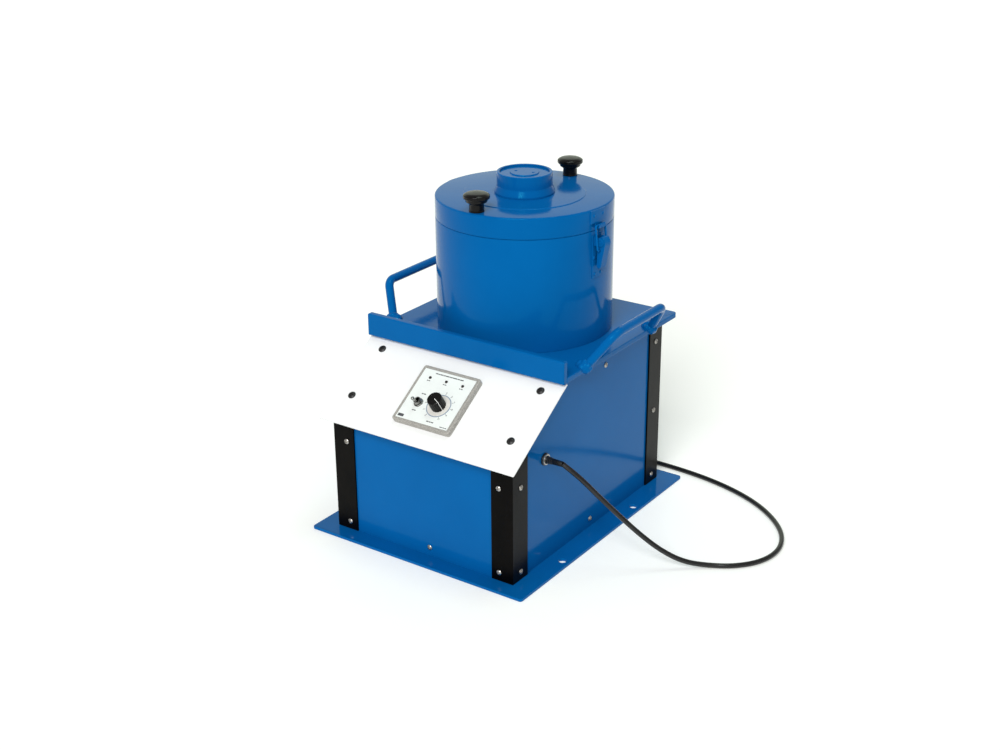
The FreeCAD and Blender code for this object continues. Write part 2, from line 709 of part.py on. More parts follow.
PLUG_BORE = 33.0
PLUG_SEAT = 578.7
PLUG_HEAD = 41.5
neck = turned(
    [
        (PLUG_BORE, LID_FACE),
        (51.0, LID_FACE),
        (51.0, LID_FACE + 1.5),
        ("arc", 47.7, LID_FACE + 5.0),
        (NECK_RADIUS, LID_FACE + 11.0),
        (NECK_RADIUS, NECK_TOP - 1.5),
        ("arc", NECK_RADIUS - 0.45, NECK_TOP - 0.45),
        (NECK_RADIUS - 1.5, NECK_TOP),
        (PLUG_HEAD, NECK_TOP),
        (PLUG_HEAD, PLUG_SEAT),
        (PLUG_BORE, PLUG_SEAT),
    ],
    AXIS,
)
export("filler_neck", neck)

PLUG_GAP = 0.3
SPANNER_HOLE_CIRCLE = 15.5
SPANNER_HOLE_TURN = 11.5
plug = turned(
    [
        (0, LID_FACE + 10),
        (PLUG_BORE - PLUG_GAP - 1.5, LID_FACE + 10),
        (PLUG_BORE - PLUG_GAP, LID_FACE + 11.5),
        (PLUG_BORE - PLUG_GAP, PLUG_SEAT + PLUG_GAP),
        (PLUG_HEAD - PLUG_GAP, PLUG_SEAT + PLUG_GAP),
        (PLUG_HEAD - PLUG_GAP, NECK_TOP - 3.2),
        (24.6, NECK_TOP - 3.2),
        (24.0, NECK_TOP - 1.4),
        (0, NECK_TOP - 1.4),
    ],
    AXIS,
)
for spot in around(2, SPANNER_HOLE_CIRCLE, SPANNER_HOLE_TURN):
    plug = plug.cut(disc(2.4, (NECK_TOP - 7, NECK_TOP), spot))
export("filler_plug", plug)

KNOB_RISE = 33.0
KNOB_RADIUS = 21.8
knob = turned(
    [
        (KNOB_SCREW_RADIUS, LID_TOP),
        (12.6, LID_TOP),
        (11.8, LID_TOP + 3),
        (11.5, LID_TOP + 9),
        ("arc", 12.6, LID_TOP + 14.2),
        (16.5, LID_TOP + 16.6),
        (20.6, LID_TOP + 17.6),
        ("arc", 21.5, LID_TOP + 18.6),
        (KNOB_RADIUS, LID_TOP + 20.0),
    ]
    + dome(KNOB_RADIUS, LID_TOP + 25.5, KNOB_RISE - 25.5)
    + [(0, LID_TOP + 18), (KNOB_SCREW_RADIUS, LID_TOP + 18)]
)
export("lid_knobs", *[placed(knob, spot) for spot in knob_spots])

knob_screw = hexagon(13.0, (LID_UNDERSIDE - 5.3, LID_UNDERSIDE)).fuse(
    disc(KNOB_SCREW_RADIUS, (LID_UNDERSIDE, LID_TOP + 17))
)
export("lid_knob_screws", *[placed(knob_screw, spot) for spot in knob_spots])

# ---- draw latches, in a frame with x outwards from the drum's axis, y sideways -------------

PIVOT = Vector(DRUM_RADIUS + 12.0, 0, 497.0)
BAIL_PIVOT = Vector(DRUM_RADIUS + 10.0, 0, 483.0)
BAIL_BAR = Vector(DRUM_RADIUS + 5.0, 0, 524.0)
PIN_RADIUS = 2.5
BAIL_WIRE = 2.0
BAIL_TIP = 1.9
BAIL_HALF_WIDTH = 13.0
LEVER_HALF_WIDTH = 8.0
CHEEK = 1.8
EAR = (8.5, 10.0)
HOOK_HALF_WIDTH = 9.0
SHELF_TOP = BAIL_BAR.z - BAIL_WIRE - 0.4


def across_latch(radius, point, half_width):
    """A round bar across the latch, centred on a point of its side view."""
    side = Vector(0, half_width, 0)
    return rod(radius, point - side, point + side)


def curved_plate(thickness, half_width, z):
    """A plate that lies against the drum's wall."""
    shell = ring(DRUM_RADIUS + thickness, DRUM_RADIUS, z)
    return shell.common(block((0, 200), (-half_width, half_width), z))


def latch_base():
    """The riveted plate with two ears that carry the lever's pin."""
    base = curved_plate(LATCH_PLATE, 14.0, (434.0, 508.0))
    for side in (-1, 1):
        y = span(side, *EAR)
        ear = block((DRUM_RADIUS + 0.9, PIVOT.x), y, (PIVOT.z - 7, PIVOT.z + 7))
        ear = ear.fuse(rod(7.0, Vector(PIVOT.x, y[0], PIVOT.z), Vector(PIVOT.x, y[1], PIVOT.z)))
        base = base.fuse(ear)
    return base.cut(across_latch(PIN_RADIUS, PIVOT, 12)).removeSplitter()


def latch_pin():
    """The lever's pin, headed just outside the ears."""
    return across_latch(PIN_RADIUS, PIVOT, EAR[1] + 0.4)


def latch_lever():
    """The channel-shaped lever, folded down against the drum."""
    side_view = [
        (4.6, 457.0),
        ("arc", 7.6, 452.2),
        (12.4, 455.0),
        (19.6, 489.0),
        ("arc", 20.4, 497.0),
        (17.5, 503.2),
        ("arc", 12.0, 505.6),
        (7.2, 502.5),
        (6.2, 494.0),
        (5.4, 478.0),
    ]
    hollow_view = [(0, 457.5), (10.6, 457.5), (17.4, 490.0), (17.6, 497.5), (11.5, 503.0), (0, 503.0)]

    def shifted(view):
        return [
            (p[0], p[1] + DRUM_RADIUS, p[2]) if p[0] == "arc" else (p[0] + DRUM_RADIUS, p[1])
            for p in view
        ]

    lever = pressed(shifted(side_view), 2 * LEVER_HALF_WIDTH)
    lever = lever.cut(pressed(shifted(hollow_view), 2 * (LEVER_HALF_WIDTH - CHEEK)))
    lever = lever.cut(across_latch(PIN_RADIUS + PIVOT_CLEARANCE, PIVOT, 12))
    return lever.cut(across_latch(BAIL_TIP + PIVOT_CLEARANCE, BAIL_PIVOT, 12))


def latch_bail():
    """The wire loop from the lever to the keeper's hook."""
    side = Vector(0, BAIL_HALF_WIDTH, 0)
    tip = Vector(0, LEVER_HALF_WIDTH - CHEEK, 0)
    start = Vector(0, LEVER_HALF_WIDTH + 1.2, 0)
    loop = bent_rod(
        [
            BAIL_PIVOT - start,
            BAIL_PIVOT - side,
            BAIL_BAR - side,
            BAIL_BAR + side,
            BAIL_PIVOT + side,
            BAIL_PIVOT + start,
        ],
        BAIL_TIP,
        3.2,
    )
    for end in (-1, 1):
        loop = loop.fuse(rod(BAIL_TIP, BAIL_PIVOT + start * end, BAIL_PIVOT + tip * end))
    return loop.removeSplitter()


def latch_keeper():
    """The plate on the lid's skirt, with a hook under it for the bail."""
    keeper = curved_plate(KEEPER_THICKNESS, 20.0, (527.5, 549.5))
    y = (-HOOK_HALF_WIDTH, HOOK_HALF_WIDTH)
    tongue = curved_plate(KEEPER_THICKNESS, HOOK_HALF_WIDTH, (SHELF_TOP - 2, 528.0))
    hook = pressed(
        [
            (DRUM_RADIUS + 1.0, SHELF_TOP - 2),
            (DRUM_RADIUS + 8.0, SHELF_TOP - 2),
            ("arc", DRUM_RADIUS + 9.2, SHELF_TOP - 1.4),
            (DRUM_RADIUS + 9.7, SHELF_TOP),
            (DRUM_RADIUS + 9.7, SHELF_TOP + 4.6),
            (DRUM_RADIUS + 7.7, SHELF_TOP + 4.6),
            (DRUM_RADIUS + 7.7, SHELF_TOP),
            (DRUM_RADIUS + 1.0, SHELF_TOP),
        ],
        y[1] - y[0],
    )
    return keeper.fuse(tongue).fuse(hook).removeSplitter()


base_with_holes = latch_base().cut(Part.makeCompound(rivets(BASE_RIVETS, LATCH_PLATE)))
keeper_with_holes = latch_keeper().cut(Part.makeCompound(rivets(KEEPER_RIVETS, KEEPER_THICKNESS)))
export("latch_bases", *[about_drum(base_with_holes, turn) for turn in LATCH_TURNS])
export("latch_pivot_pins", *[about_drum(latch_pin(), turn) for turn in LATCH_TURNS])
export("latch_keepers", *[about_drum(keeper_with_holes, turn) for turn in LATCH_TURNS])
for hand, turn in zip(("right", "left"), LATCH_TURNS):
    export(f"latch_lever_{hand}", about_drum(latch_lever(), turn))
    export(f"latch_bail_{hand}", about_drum(latch_bail(), turn))

# ---- springs, vibrating plate and bowl -----------------------------------------------------

SPRING_CIRCLE = 105.0
SPRING_BOTTOM = 325.0
SPRING_TOP = 363.0
SPRING_GAP = 0.3
SPRING_RADIUS = 15.0
SPRING_WIRE = 2.2
SPRING_TURNS = 4.5
SPIGOT = 11.5
PLATE_TOP = 369.0
PLATE_RADIUS = 122.0
spring_spots = around(4, SPRING_CIRCLE, 45)

seats = [
    disc(19.0, (DECK_TOP, SPRING_BOTTOM), spot).fuse(disc(SPIGOT, (DECK_TOP, SPRING_BOTTOM + 9), spot))
    for spot in spring_spots
]
export("spring_seats", *seats)


def spring():
    """A compression spring of round wire with ground ends, standing on the origin."""
    height = SPRING_TOP - SPRING_BOTTOM - SPRING_GAP
    helix = Part.makeHelix(height / SPRING_TURNS, height, SPRING_RADIUS)
    section = Part.Wire(
        Part.makeCircle(SPRING_WIRE, Vector(SPRING_RADIUS, 0, 0), Vector(0, 1, 0))
    )
    coil = Part.Wire(helix).makePipeShell([section], True, True)
    return coil.common(ring(SPRING_RADIUS + 5, SPRING_RADIUS - 5, (0, height)))


export(
    "suspension_springs",
    *[placed(spring(), spot + Vector(0, 0, SPRING_BOTTOM)) for spot in spring_spots],
)

HOLD_DOWN_RADIUS = 6.0
plate = disc(PLATE_RADIUS, (SPRING_TOP, PLATE_TOP), AXIS)
plate = plate.cut(disc(HOLD_DOWN_RADIUS + 0.1, (SPRING_TOP - 1, PLATE_TOP + 1), AXIS))
for spot in spring_spots:
    plate = plate.fuse(disc(SPIGOT, (SPRING_TOP - 9, SPRING_TOP), spot))
export("vibrating_plate", plate.removeSplitter())

BOWL_RIM = 498.0
CONE_TOP = 474.0
bowl = turned(
    [
        (28.0, PLATE_TOP),
        (92.0, PLATE_TOP),
        ("arc", 112.0, 378.0),
        (119.0, 400.0),
        (121.0, BOWL_RIM),
        (117.0, BOWL_RIM),
        (115.0, 400.0),
        ("arc", 109.0, 381.0),
        (92.0, PLATE_TOP + 4),
        (36.0, PLATE_TOP + 4),
        (30.0, PLATE_TOP + 9),
        (18.0, CONE_TOP),
        (HOLD_DOWN_RADIUS + 0.2, CONE_TOP),
        (HOLD_DOWN_RADIUS + 0.2, CONE_TOP - 4),
        (14.5, CONE_TOP - 4),
        (26.0, PLATE_TOP + 9),
    ],
    AXIS,
)
export("tumbling_bowl", bowl)

liner = turned(
    [
        (36.0, PLATE_TOP + 4),
        (92.0, PLATE_TOP + 4),
        ("arc", 109.0, 381.0),
        (115.0, 400.0),
        (116.92, BOWL_RIM - 2),
        (112.92, BOWL_RIM - 2),
        (111.0, 400.0),
        ("arc", 105.8, 384.5),
        (92.0, PLATE_TOP + 8),
        (40.0, PLATE_TOP + 8),
        (34.0, PLATE_TOP + 12),
        (24.0, CONE_TOP - 16),
        (20.0, CONE_TOP - 16),
        (30.0, PLATE_TOP + 9),
    ],
    AXIS,
)
export("bowl_liner", liner)

hold_down = disc(HOLD_DOWN_RADIUS, (357.0, CONE_TOP + 14), AXIS)
hold_down = hold_down.fuse(hexagon(19.0, (357.0, SPRING_TOP), AXIS))
hold_down_nut = hexagon(19.0, (CONE_TOP + 2, CONE_TOP + 12), AXIS).fuse(
    disc(14.0, (CONE_TOP, CONE_TOP + 2), AXIS)
)
hold_down_nut = hold_down_nut.cut(disc(HOLD_DOWN_RADIUS, (CONE_TOP - 1, CONE_TOP + 13), AXIS))
export("bowl_hold_down", hold_down, hold_down_nut)

# ---- vibration motor under the plate -------------------------------------------------------

MOTOR_RADIUS = 70.0
MOTOR_BORE = 66.0
MOTOR_BOTTOM = 187.0
MOTOR_TOP = 331.0
BELL = 9.0
BEARING_RADIUS = 20.0
SHAFT_RADIUS = 8.0
PILLAR_CIRCLE = 58.0
TERMINAL_Z = (240.0, 274.0)

housing = ring(MOTOR_RADIUS, MOTOR_BORE, (MOTOR_BOTTOM, MOTOR_TOP), AXIS)
for z in (MOTOR_BOTTOM, MOTOR_TOP - BELL):
    housing = housing.fuse(ring(MOTOR_BORE + 1, BEARING_RADIUS, (z, z + BELL), AXIS))
terminal_box = block((-20, 20), (DRUM_Y - MOTOR_RADIUS - 18, DRUM_Y - MOTOR_RADIUS + 5), TERMINAL_Z)
terminal_box = terminal_box.cut(disc(MOTOR_RADIUS - 1, (0, 400), AXIS))
export("motor_housing", housing.fuse(terminal_box).removeSplitter())

export("motor_stator", ring(MOTOR_BORE, 39.5, (222.0, 293.0), AXIS))

bearings = [
    ring(BEARING_RADIUS, SHAFT_RADIUS + PIVOT_CLEARANCE, (z, z + BELL), AXIS)
    for z in (MOTOR_BOTTOM, MOTOR_TOP - BELL)
]
export("motor_bearings", *bearings)

pillars = [disc(6.0, (MOTOR_TOP, SPRING_TOP), spot) for spot in around(4, PILLAR_CIRCLE)]
export("motor_pillars", *pillars)

rotor = disc(SHAFT_RADIUS, (148.0, 353.5), AXIS)
core = ring(38.5, SHAFT_RADIUS, (225.0, 290.0), AXIS)
export("motor_rotor", rotor, core)


def eccentric(radius, z):
    """A half disc with a hub, clamped on the motor's shaft."""
    half = disc(radius, z, AXIS).common(block((-200, 0), (-200, 400), (0, 500)))
    weight = half.fuse(disc(17.0, z, AXIS))
    return weight.cut(disc(SHAFT_RADIUS, z, AXIS)).removeSplitter()


export("eccentric_weights", eccentric(48.0, (337.0, 352.0)), eccentric(55.0, (156.0, 174.0)))

# ---- mains cord, its gland and plug, and the wiring inside ---------------------------------

GLAND_END = 213.0


def along_gland(radius, x):
    """A round part of the gland between two distances from the machine's middle."""
    return rod(radius, Vector(x[0], GLAND_Y, GLAND_Z), Vector(x[1], GLAND_Y, GLAND_Z))


sleeve_start = SKIN_X + 6.5
sleeve = Part.makeCone(
    6.4,
    CORD_RADIUS + 0.9,
    GLAND_END - sleeve_start,
    Vector(sleeve_start, GLAND_Y, GLAND_Z),
    Vector(1, 0, 0),
)
gland = along_gland(GLAND_THREAD_RADIUS, (166.0, SKIN_X))
gland = gland.fuse(along_gland(10.5, (SKIN_X, SKIN_X + 4.0)))
gland = gland.fuse(along_gland(8.6, (SKIN_X + 4.0, sleeve_start))).fuse(sleeve)
locknut = along_gland(12.0, (RAIL_X - 4.5, RAIL_X)).cut(
    along_gland(GLAND_THREAD_RADIUS, (RAIL_X - 5, RAIL_X + 1))
)
export("cable_gland", gland, locknut)

CORD_ROUTE = [
    Vector(GLAND_END, GLAND_Y, GLAND_Z),
    Vector(238, -132, 174),
    Vector(264, -110, 135),
    Vector(292, -89, 98),
    Vector(319, -70, 65),
    Vector(346, -50, 36),
    Vector(375, -26, 13),
    Vector(408, 0, 4.3),
    Vector(445, 22, 4.3),
    Vector(474, 60, 4.3),
    Vector(482, 108, 4.3),
    Vector(466, 158, 4.3),
    Vector(430, 202, 4.3),
    Vector(378, 240, 4.3),
    Vector(315, 266, 4.3),
    Vector(245, 281, 4.3),
    Vector(168, 286, 4.3),
    Vector(92, 284.5, 4.3),
    Vector(18, 282.8, 4.3),
]
cord = bent_rod(CORD_ROUTE, CORD_RADIUS)
cord_path, cord_radii = tangent_path(CORD_ROUTE)

COIL_CENTRE = Vector(-10, 335, 0)
COIL_RADIUS = 48.0
CORD_DIAMETER = 2 * CORD_RADIUS
TAIL_ROUTE = [
    Vector(-34, 287, 11.7),
    Vector(-51, 286.0, 12.2),
    Vector(-68, 285, 13.0),
]
tail = bent_rod(TAIL_ROUTE, CORD_RADIUS)
export("mains_cord", cord, tail)

coil = turned(
    [
        (COIL_RADIUS - CORD_DIAMETER, 0.05),
        (COIL_RADIUS + CORD_DIAMETER, 0.05),
        (COIL_RADIUS + CORD_DIAMETER, CORD_DIAMETER),
        (COIL_RADIUS + CORD_RADIUS, 15.9),
        (COIL_RADIUS - CORD_RADIUS, 15.9),
        (COIL_RADIUS - CORD_DIAMETER, CORD_DIAMETER),
    ],
    COIL_CENTRE,
)
export("cord_coil", coil)

PLUG_Y = 285.0
PLUG_Z = 13.0
plug_centre = Vector(-68, PLUG_Y, PLUG_Z)
relief = Part.makeCone(7.5, CORD_RADIUS + 0.8, 24.0, plug_centre - Vector(24, 0, 0), Vector(1, 0, 0))
plug_body = block((-130, -91), (PLUG_Y - 12.5, PLUG_Y + 12.5), (0.2, 26.0))
plug_body = rounded(plug_body, 4.0, runs_along(Vector(1, 0, 0)))
plug_body = plug_body.fuse(relief)
plug_pins = [
    block((-147, -130), (PLUG_Y + y - 0.75, PLUG_Y + y + 0.75), (14.0, 20.4)) for y in (-6.35, 6.35)
]
plug_pins.append(rod(2.4, Vector(-130, PLUG_Y, 6.5), Vector(-150, PLUG_Y, 6.5)))
export("mains_plug", plug_body, *plug_pins)

WIRE_RADIUS = 3.5
panel_point = PANEL_FRAME.multVec
inlet_wire = bent_rod(
    [
        Vector(166, GLAND_Y, GLAND_Z),
        Vector(130, GLAND_Y, GLAND_Z),
        Vector(92, GLAND_Y - 14, GLAND_Z + 18),
        Vector(48, panel_point(Vector(0, 80, -30)).y, panel_point(Vector(0, 80, -30)).z),
    ],
    WIRE_RADIUS,
)
case_back = panel_point(Vector(0, 90, -48))
motor_wire = bent_rod(
    [
        case_back,
        case_back + Vector(0, 16.5, -25),
        case_back + Vector(0, 52, -30),
        Vector(0, -62, 238),
        Vector(0, -46, 257),
        Vector(0, DRUM_Y - MOTOR_RADIUS - 18.5, 257),
    ],
    WIRE_RADIUS,
)
export("internal_wiring", inlet_wire, motor_wire)

# ---- what the cord measures ----------------------------------------------------------------

section_area = math.pi * CORD_RADIUS**2
print("cord length", round(cord_path.Length, 1), "volume / section", round(cord.Volume / section_area, 1))
print("cord bend radii", [round(r) for r in cord_radii])
print("tail volume / section", round(tail.Volume / section_area, 1))
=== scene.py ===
"""Looks of the vibratory rock tumbler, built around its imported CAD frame."""

import json
import math

import bmesh
import bpy
import numpy as np
from mathutils import Matrix, Vector

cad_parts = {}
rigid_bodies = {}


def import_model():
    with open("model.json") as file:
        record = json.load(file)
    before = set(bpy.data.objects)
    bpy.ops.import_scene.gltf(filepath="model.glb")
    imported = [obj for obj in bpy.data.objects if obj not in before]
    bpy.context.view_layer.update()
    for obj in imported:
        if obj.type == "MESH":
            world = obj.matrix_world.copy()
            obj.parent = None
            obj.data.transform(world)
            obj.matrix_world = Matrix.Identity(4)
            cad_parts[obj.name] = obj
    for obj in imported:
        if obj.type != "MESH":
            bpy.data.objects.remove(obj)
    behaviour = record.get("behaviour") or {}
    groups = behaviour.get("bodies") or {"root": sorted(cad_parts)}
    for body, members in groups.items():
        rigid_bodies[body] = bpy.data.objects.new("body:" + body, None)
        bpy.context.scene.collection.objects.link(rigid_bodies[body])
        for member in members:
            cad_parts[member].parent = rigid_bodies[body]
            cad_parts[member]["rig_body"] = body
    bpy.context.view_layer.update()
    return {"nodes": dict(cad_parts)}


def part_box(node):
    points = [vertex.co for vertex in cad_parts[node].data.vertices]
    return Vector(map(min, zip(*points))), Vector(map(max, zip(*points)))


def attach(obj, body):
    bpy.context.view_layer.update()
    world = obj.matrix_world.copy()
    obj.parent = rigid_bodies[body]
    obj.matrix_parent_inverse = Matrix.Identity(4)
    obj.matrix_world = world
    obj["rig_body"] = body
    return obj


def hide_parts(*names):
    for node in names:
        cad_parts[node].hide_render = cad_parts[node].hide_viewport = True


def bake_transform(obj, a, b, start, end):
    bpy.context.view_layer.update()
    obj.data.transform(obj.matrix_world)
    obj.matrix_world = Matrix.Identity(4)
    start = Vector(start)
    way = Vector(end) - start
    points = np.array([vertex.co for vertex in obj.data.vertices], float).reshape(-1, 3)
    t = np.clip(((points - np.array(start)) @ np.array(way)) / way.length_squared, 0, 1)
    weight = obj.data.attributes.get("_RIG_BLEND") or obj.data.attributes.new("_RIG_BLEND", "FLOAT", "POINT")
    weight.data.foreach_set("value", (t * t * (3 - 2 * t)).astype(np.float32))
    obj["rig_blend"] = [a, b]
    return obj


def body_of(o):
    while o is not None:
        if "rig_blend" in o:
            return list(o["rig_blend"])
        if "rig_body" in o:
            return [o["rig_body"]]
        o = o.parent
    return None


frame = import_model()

MM = 0.001
NODES = frame["nodes"]
Z_AXIS = Vector((0, 0, 1))

# ---- places and sizes taken from the frame -------------------------------------------------


def corners(node):
    """A node's lowest and highest corners, in millimetres."""
    low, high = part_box(node)
    return low / MM, high / MM


def local_corners(node, turn):
    """A node's lowest and highest corners in a turned frame, in millimetres."""
    inverse = turn.inverted()
    points = np.array([inverse @ v.co for v in NODES[node].data.vertices]) / MM
    return Vector(points.min(0)), Vector(points.max(0))


drum_low, drum_high = corners("drum_shell")
lid_low = corners("drum_lid")[0]
neck_low, neck_high = corners("filler_neck")
deck_high = corners("deck_plate")[1]
DRUM_CENTRE = Vector((0, (drum_low.y + drum_high.y) / 2, 0))
DRUM_RADIUS = (drum_high.x - drum_low.x) / 2
DRUM_WALL = 2.5
LID_SEAT_RADIUS = 141.0
LID_FACE = neck_low.z
LID_TOP = LID_FACE - 1.2

PANEL_SLOPE = math.radians(33.3)
PANEL_SHEET = 2.0
panel_low = corners("control_panel")[0]
panel_edge = Vector((0, panel_low.y, panel_low.z + PANEL_SHEET * math.cos(PANEL_SLOPE)))
PANEL = Matrix.Translation(panel_edge * MM) @ Matrix.Rotation(PANEL_SLOPE, 4, "X")

# ---- camera --------------------------------------------------------------------------------

CAMERA_PLACE = Vector((1.3614, -1.9521, 1.2463))
CAMERA_AZIMUTH = math.radians(34.966)
CAMERA_ELEVATION = math.radians(22.815)
CAMERA_ROLL = math.radians(-0.423)
CAMERA_LENS = 54.38
CAMERA_SENSOR = 36.0


def make_camera():
    """The camera, turned by azimuth, elevation and roll."""
    data = bpy.data.cameras.new("camera")
    data.sensor_width = CAMERA_SENSOR
    data.lens = CAMERA_LENS
    data.clip_end = 100.0
    camera = bpy.data.objects.new("camera", data)
    turn = (
        Matrix.Rotation(CAMERA_AZIMUTH, 4, "Z")
        @ Matrix.Rotation(math.pi / 2 - CAMERA_ELEVATION, 4, "X")
        @ Matrix.Rotation(CAMERA_ROLL, 4, "Z")
    )
    camera.matrix_world = Matrix.Translation(CAMERA_PLACE) @ turn
    bpy.context.scene.collection.objects.link(camera)
    bpy.context.scene.camera = camera


make_camera()

# ---- materials -----------------------------------------------------------------------------


def add_node(tree, kind, **values):
    """A shader node with its properties or input values set by name."""
    node = tree.nodes.new(kind)
    for key, value in values.items():
        if hasattr(node, key):
            setattr(node, key, value)
        else:
            node.inputs[key.replace("_", " ")].default_value = value
    return node


def noise(tree, place, scale, detail=3.0, roughness=0.5, stretch=None):
    """A noise pattern in the object's own coordinates, whose scale is per metre."""
    if stretch:
        mapping = add_node(tree, "ShaderNodeMapping")
        mapping.inputs["Scale"].default_value = stretch
        tree.links.new(place.outputs["Object"], mapping.inputs["Vector"])
        source = mapping.outputs["Vector"]
    else:
        source = place.outputs["Object"]
    pattern = add_node(
        tree, "ShaderNodeTexNoise", Scale=scale, Detail=detail, Roughness=roughness
    )
    tree.links.new(source, pattern.inputs["Vector"])
    return pattern.outputs["Fac"]


def spread(tree, value, low, high, out_low, out_high):
    """A pattern's values from low to high, mapped to another range."""
    node = add_node(tree, "ShaderNodeMapRange")
    for name, number in (
        ("From Min", low),
        ("From Max", high),
        ("To Min", out_low),
        ("To Max", out_high),
    ):
        node.inputs[name].default_value = number
    tree.links.new(value, node.inputs["Value"])
    return node.outputs["Result"]


def blend_colours(tree, value, first, second, low=0.3, high=0.7):
    """Two colours mixed by a pattern."""
    ramp = add_node(tree, "ShaderNodeValToRGB")
    ramp.color_ramp.elements[0].position = low
    ramp.color_ramp.elements[0].color = (*first, 1)
    ramp.color_ramp.elements[1].position = high
    ramp.color_ramp.elements[1].color = (*second, 1)
    tree.links.new(value, ramp.inputs["Fac"])
    return ramp.outputs["Color"]


def bump(tree, height, strength, distance, below=None):
    """A bump from a height pattern, over another bump if there is one."""
    node = add_node(tree, "ShaderNodeBump", Strength=strength, Distance=distance)
    tree.links.new(height, node.inputs["Height"])
    if below is not None:
        tree.links.new(below, node.inputs["Normal"])
    return node.outputs["Normal"]


def finish_material(
    name,
    tints,
    patch,
    roughness,
    grain,
    grain_bump,
    wave=None,
    stretch=None,
    speck=None,
    **sockets,
):
    """A material whose colour varies in patches and whose roughness varies with its grain.

    tints are two colours, patch and grain are pattern scales per metre, roughness is a range,
    grain_bump is a strength and a height, wave is the scale, strength and height of a longer
    unevenness, and speck is a scale, a threshold and a colour for fine spots."""
    material = bpy.data.materials.new(name)
    material.use_nodes = True
    tree = material.node_tree
    shader = tree.nodes["Principled BSDF"]
    place = add_node(tree, "ShaderNodeTexCoord")
    patches = noise(tree, place, patch, stretch=stretch)
    colour = blend_colours(tree, patches, tints[0], tints[1])
    fine = noise(tree, place, grain, detail=4.0, roughness=0.6, stretch=stretch)
    if speck:
        scale, threshold, tint = speck
        spots = noise(tree, place, scale, detail=2.0)
        amount = spread(tree, spots, threshold, threshold + 0.06, 0.0, 1.0)
        mix = add_node(tree, "ShaderNodeMix", data_type="RGBA")
        colour_inputs = [i for i in mix.inputs if i.type == "RGBA"]
        colour_inputs[1].default_value = (*tint, 1)
        tree.links.new(amount, mix.inputs[0])
        tree.links.new(colour, colour_inputs[0])
        colour = [o for o in mix.outputs if o.type == "RGBA"][0]
    tree.links.new(colour, shader.inputs["Base Color"])
    tree.links.new(
        spread(tree, fine, 0.3, 0.7, roughness[0], roughness[1]), shader.inputs["Roughness"]
    )
    normal = bump(tree, fine, grain_bump[0], grain_bump[1])
    if wave:
        long_wave = noise(tree, place, wave[0], detail=1.0)
        normal = bump(tree, long_wave, wave[1], wave[2], normal)
    tree.links.new(normal, shader.inputs["Normal"])
    for key, value in sockets.items():
        shader.inputs[key.replace("_", " ")].default_value = value
    return material


BLUE = (0.0010, 0.106, 0.345)
BLUE_DEEP = (0.0007, 0.096, 0.318)

enamel = finish_material(
    "blue_enamel",
    (BLUE, BLUE_DEEP),
    patch=9.0,
    roughness=(0.09, 0.15),
    grain=420.0,
    grain_bump=(0.10, 0.0002),
    wave=(38.0, 0.10, 0.0012),
    Specular_Tint=(0.05, 0.80, 1.0, 1.0),
    IOR=1.23,
)
black_paint = finish_material(
    "black_paint",
    ((0.0008, 0.0008, 0.0008), (0.0030, 0.0022, 0.0016)),
    patch=30.0,
    roughness=(0.26, 0.40),
    grain=900.0,
    grain_bump=(0.25, 0.0002),
    wave=(60.0, 0.08, 0.001),
    Specular_Tint=(0.02, 0.02, 0.02, 1.0),
    IOR=1.27,
)
white_paint = finish_material(
    "white_paint",
    ((0.88, 0.885, 0.88), (0.85, 0.855, 0.85)),
    patch=7.0,
    roughness=(0.34, 0.46),
    grain=700.0,
    grain_bump=(0.12, 0.0001),
)
grey_casting = finish_material(
    "grey_casting",
    ((0.58, 0.56, 0.52), (0.26, 0.245, 0.22)),
    patch=900.0,
    roughness=(0.42, 0.66),
    grain=1100.0,
    grain_bump=(0.7, 0.0006),
    speck=(1300.0, 0.56, (0.16, 0.145, 0.13)),
    Metallic=0.25,
)
label_stock = finish_material(
    "label_stock",
    ((0.82, 0.86, 0.83), (0.78, 0.81, 0.79)),
    patch=40.0,
    roughness=(0.28, 0.36),
    grain=800.0,
    grain_bump=(0.05, 0.0001),
)
label_ink = finish_material(
    "label_ink",
    ((0.05, 0.055, 0.06), (0.09, 0.09, 0.10)),
    patch=500.0,
    roughness=(0.4, 0.55),
    grain=1500.0,
    grain_bump=(0.05, 0.0001),
)
dial_pale = finish_material(
    "dial_pale",
    ((0.64, 0.62, 0.57), (0.74, 0.72, 0.68)),
    patch=260.0,
    roughness=(0.25, 0.4),
    grain=900.0,
    grain_bump=(0.08, 0.0001),
)
dial_line = finish_material(
    "dial_line",
    ((0.15, 0.21, 0.30), (0.26, 0.33, 0.42)),
    patch=400.0,
    roughness=(0.35, 0.5),
    grain=900.0,
    grain_bump=(0.05, 0.0001),
)
zinc = finish_material(
    "zinc_steel",
    ((0.56, 0.54, 0.51), (0.34, 0.32, 0.29)),
    patch=260.0,
    roughness=(0.22, 0.38),
    grain=1400.0,
    grain_bump=(0.18, 0.0001),
    speck=(700.0, 0.64, (0.20, 0.15, 0.10)),
    Metallic=1.0,
)
black_oxide = finish_material(
    "black_oxide",
    ((0.012, 0.012, 0.013), (0.022, 0.021, 0.02)),
    patch=300.0,
    roughness=(0.32, 0.5),
    grain=1200.0,
    grain_bump=(0.15, 0.0001),
    Metallic=0.3,
)
phenolic = finish_material(
    "black_phenolic",
    ((0.0022, 0.0022, 0.0022), (0.0045, 0.004, 0.0036)),
    patch=60.0,
    roughness=(0.16, 0.27),
    grain=900.0,
    grain_bump=(0.08, 0.0001),
    wave=(140.0, 0.12, 0.0005),
    Specular_Tint=(0.35, 0.35, 0.35, 1.0),
)
white_line = finish_material(
    "white_line",
    ((0.85, 0.85, 0.83), (0.78, 0.78, 0.76)),
    patch=300.0,
    roughness=(0.35, 0.5),
    grain=900.0,
    grain_bump=(0.05, 0.0001),
)
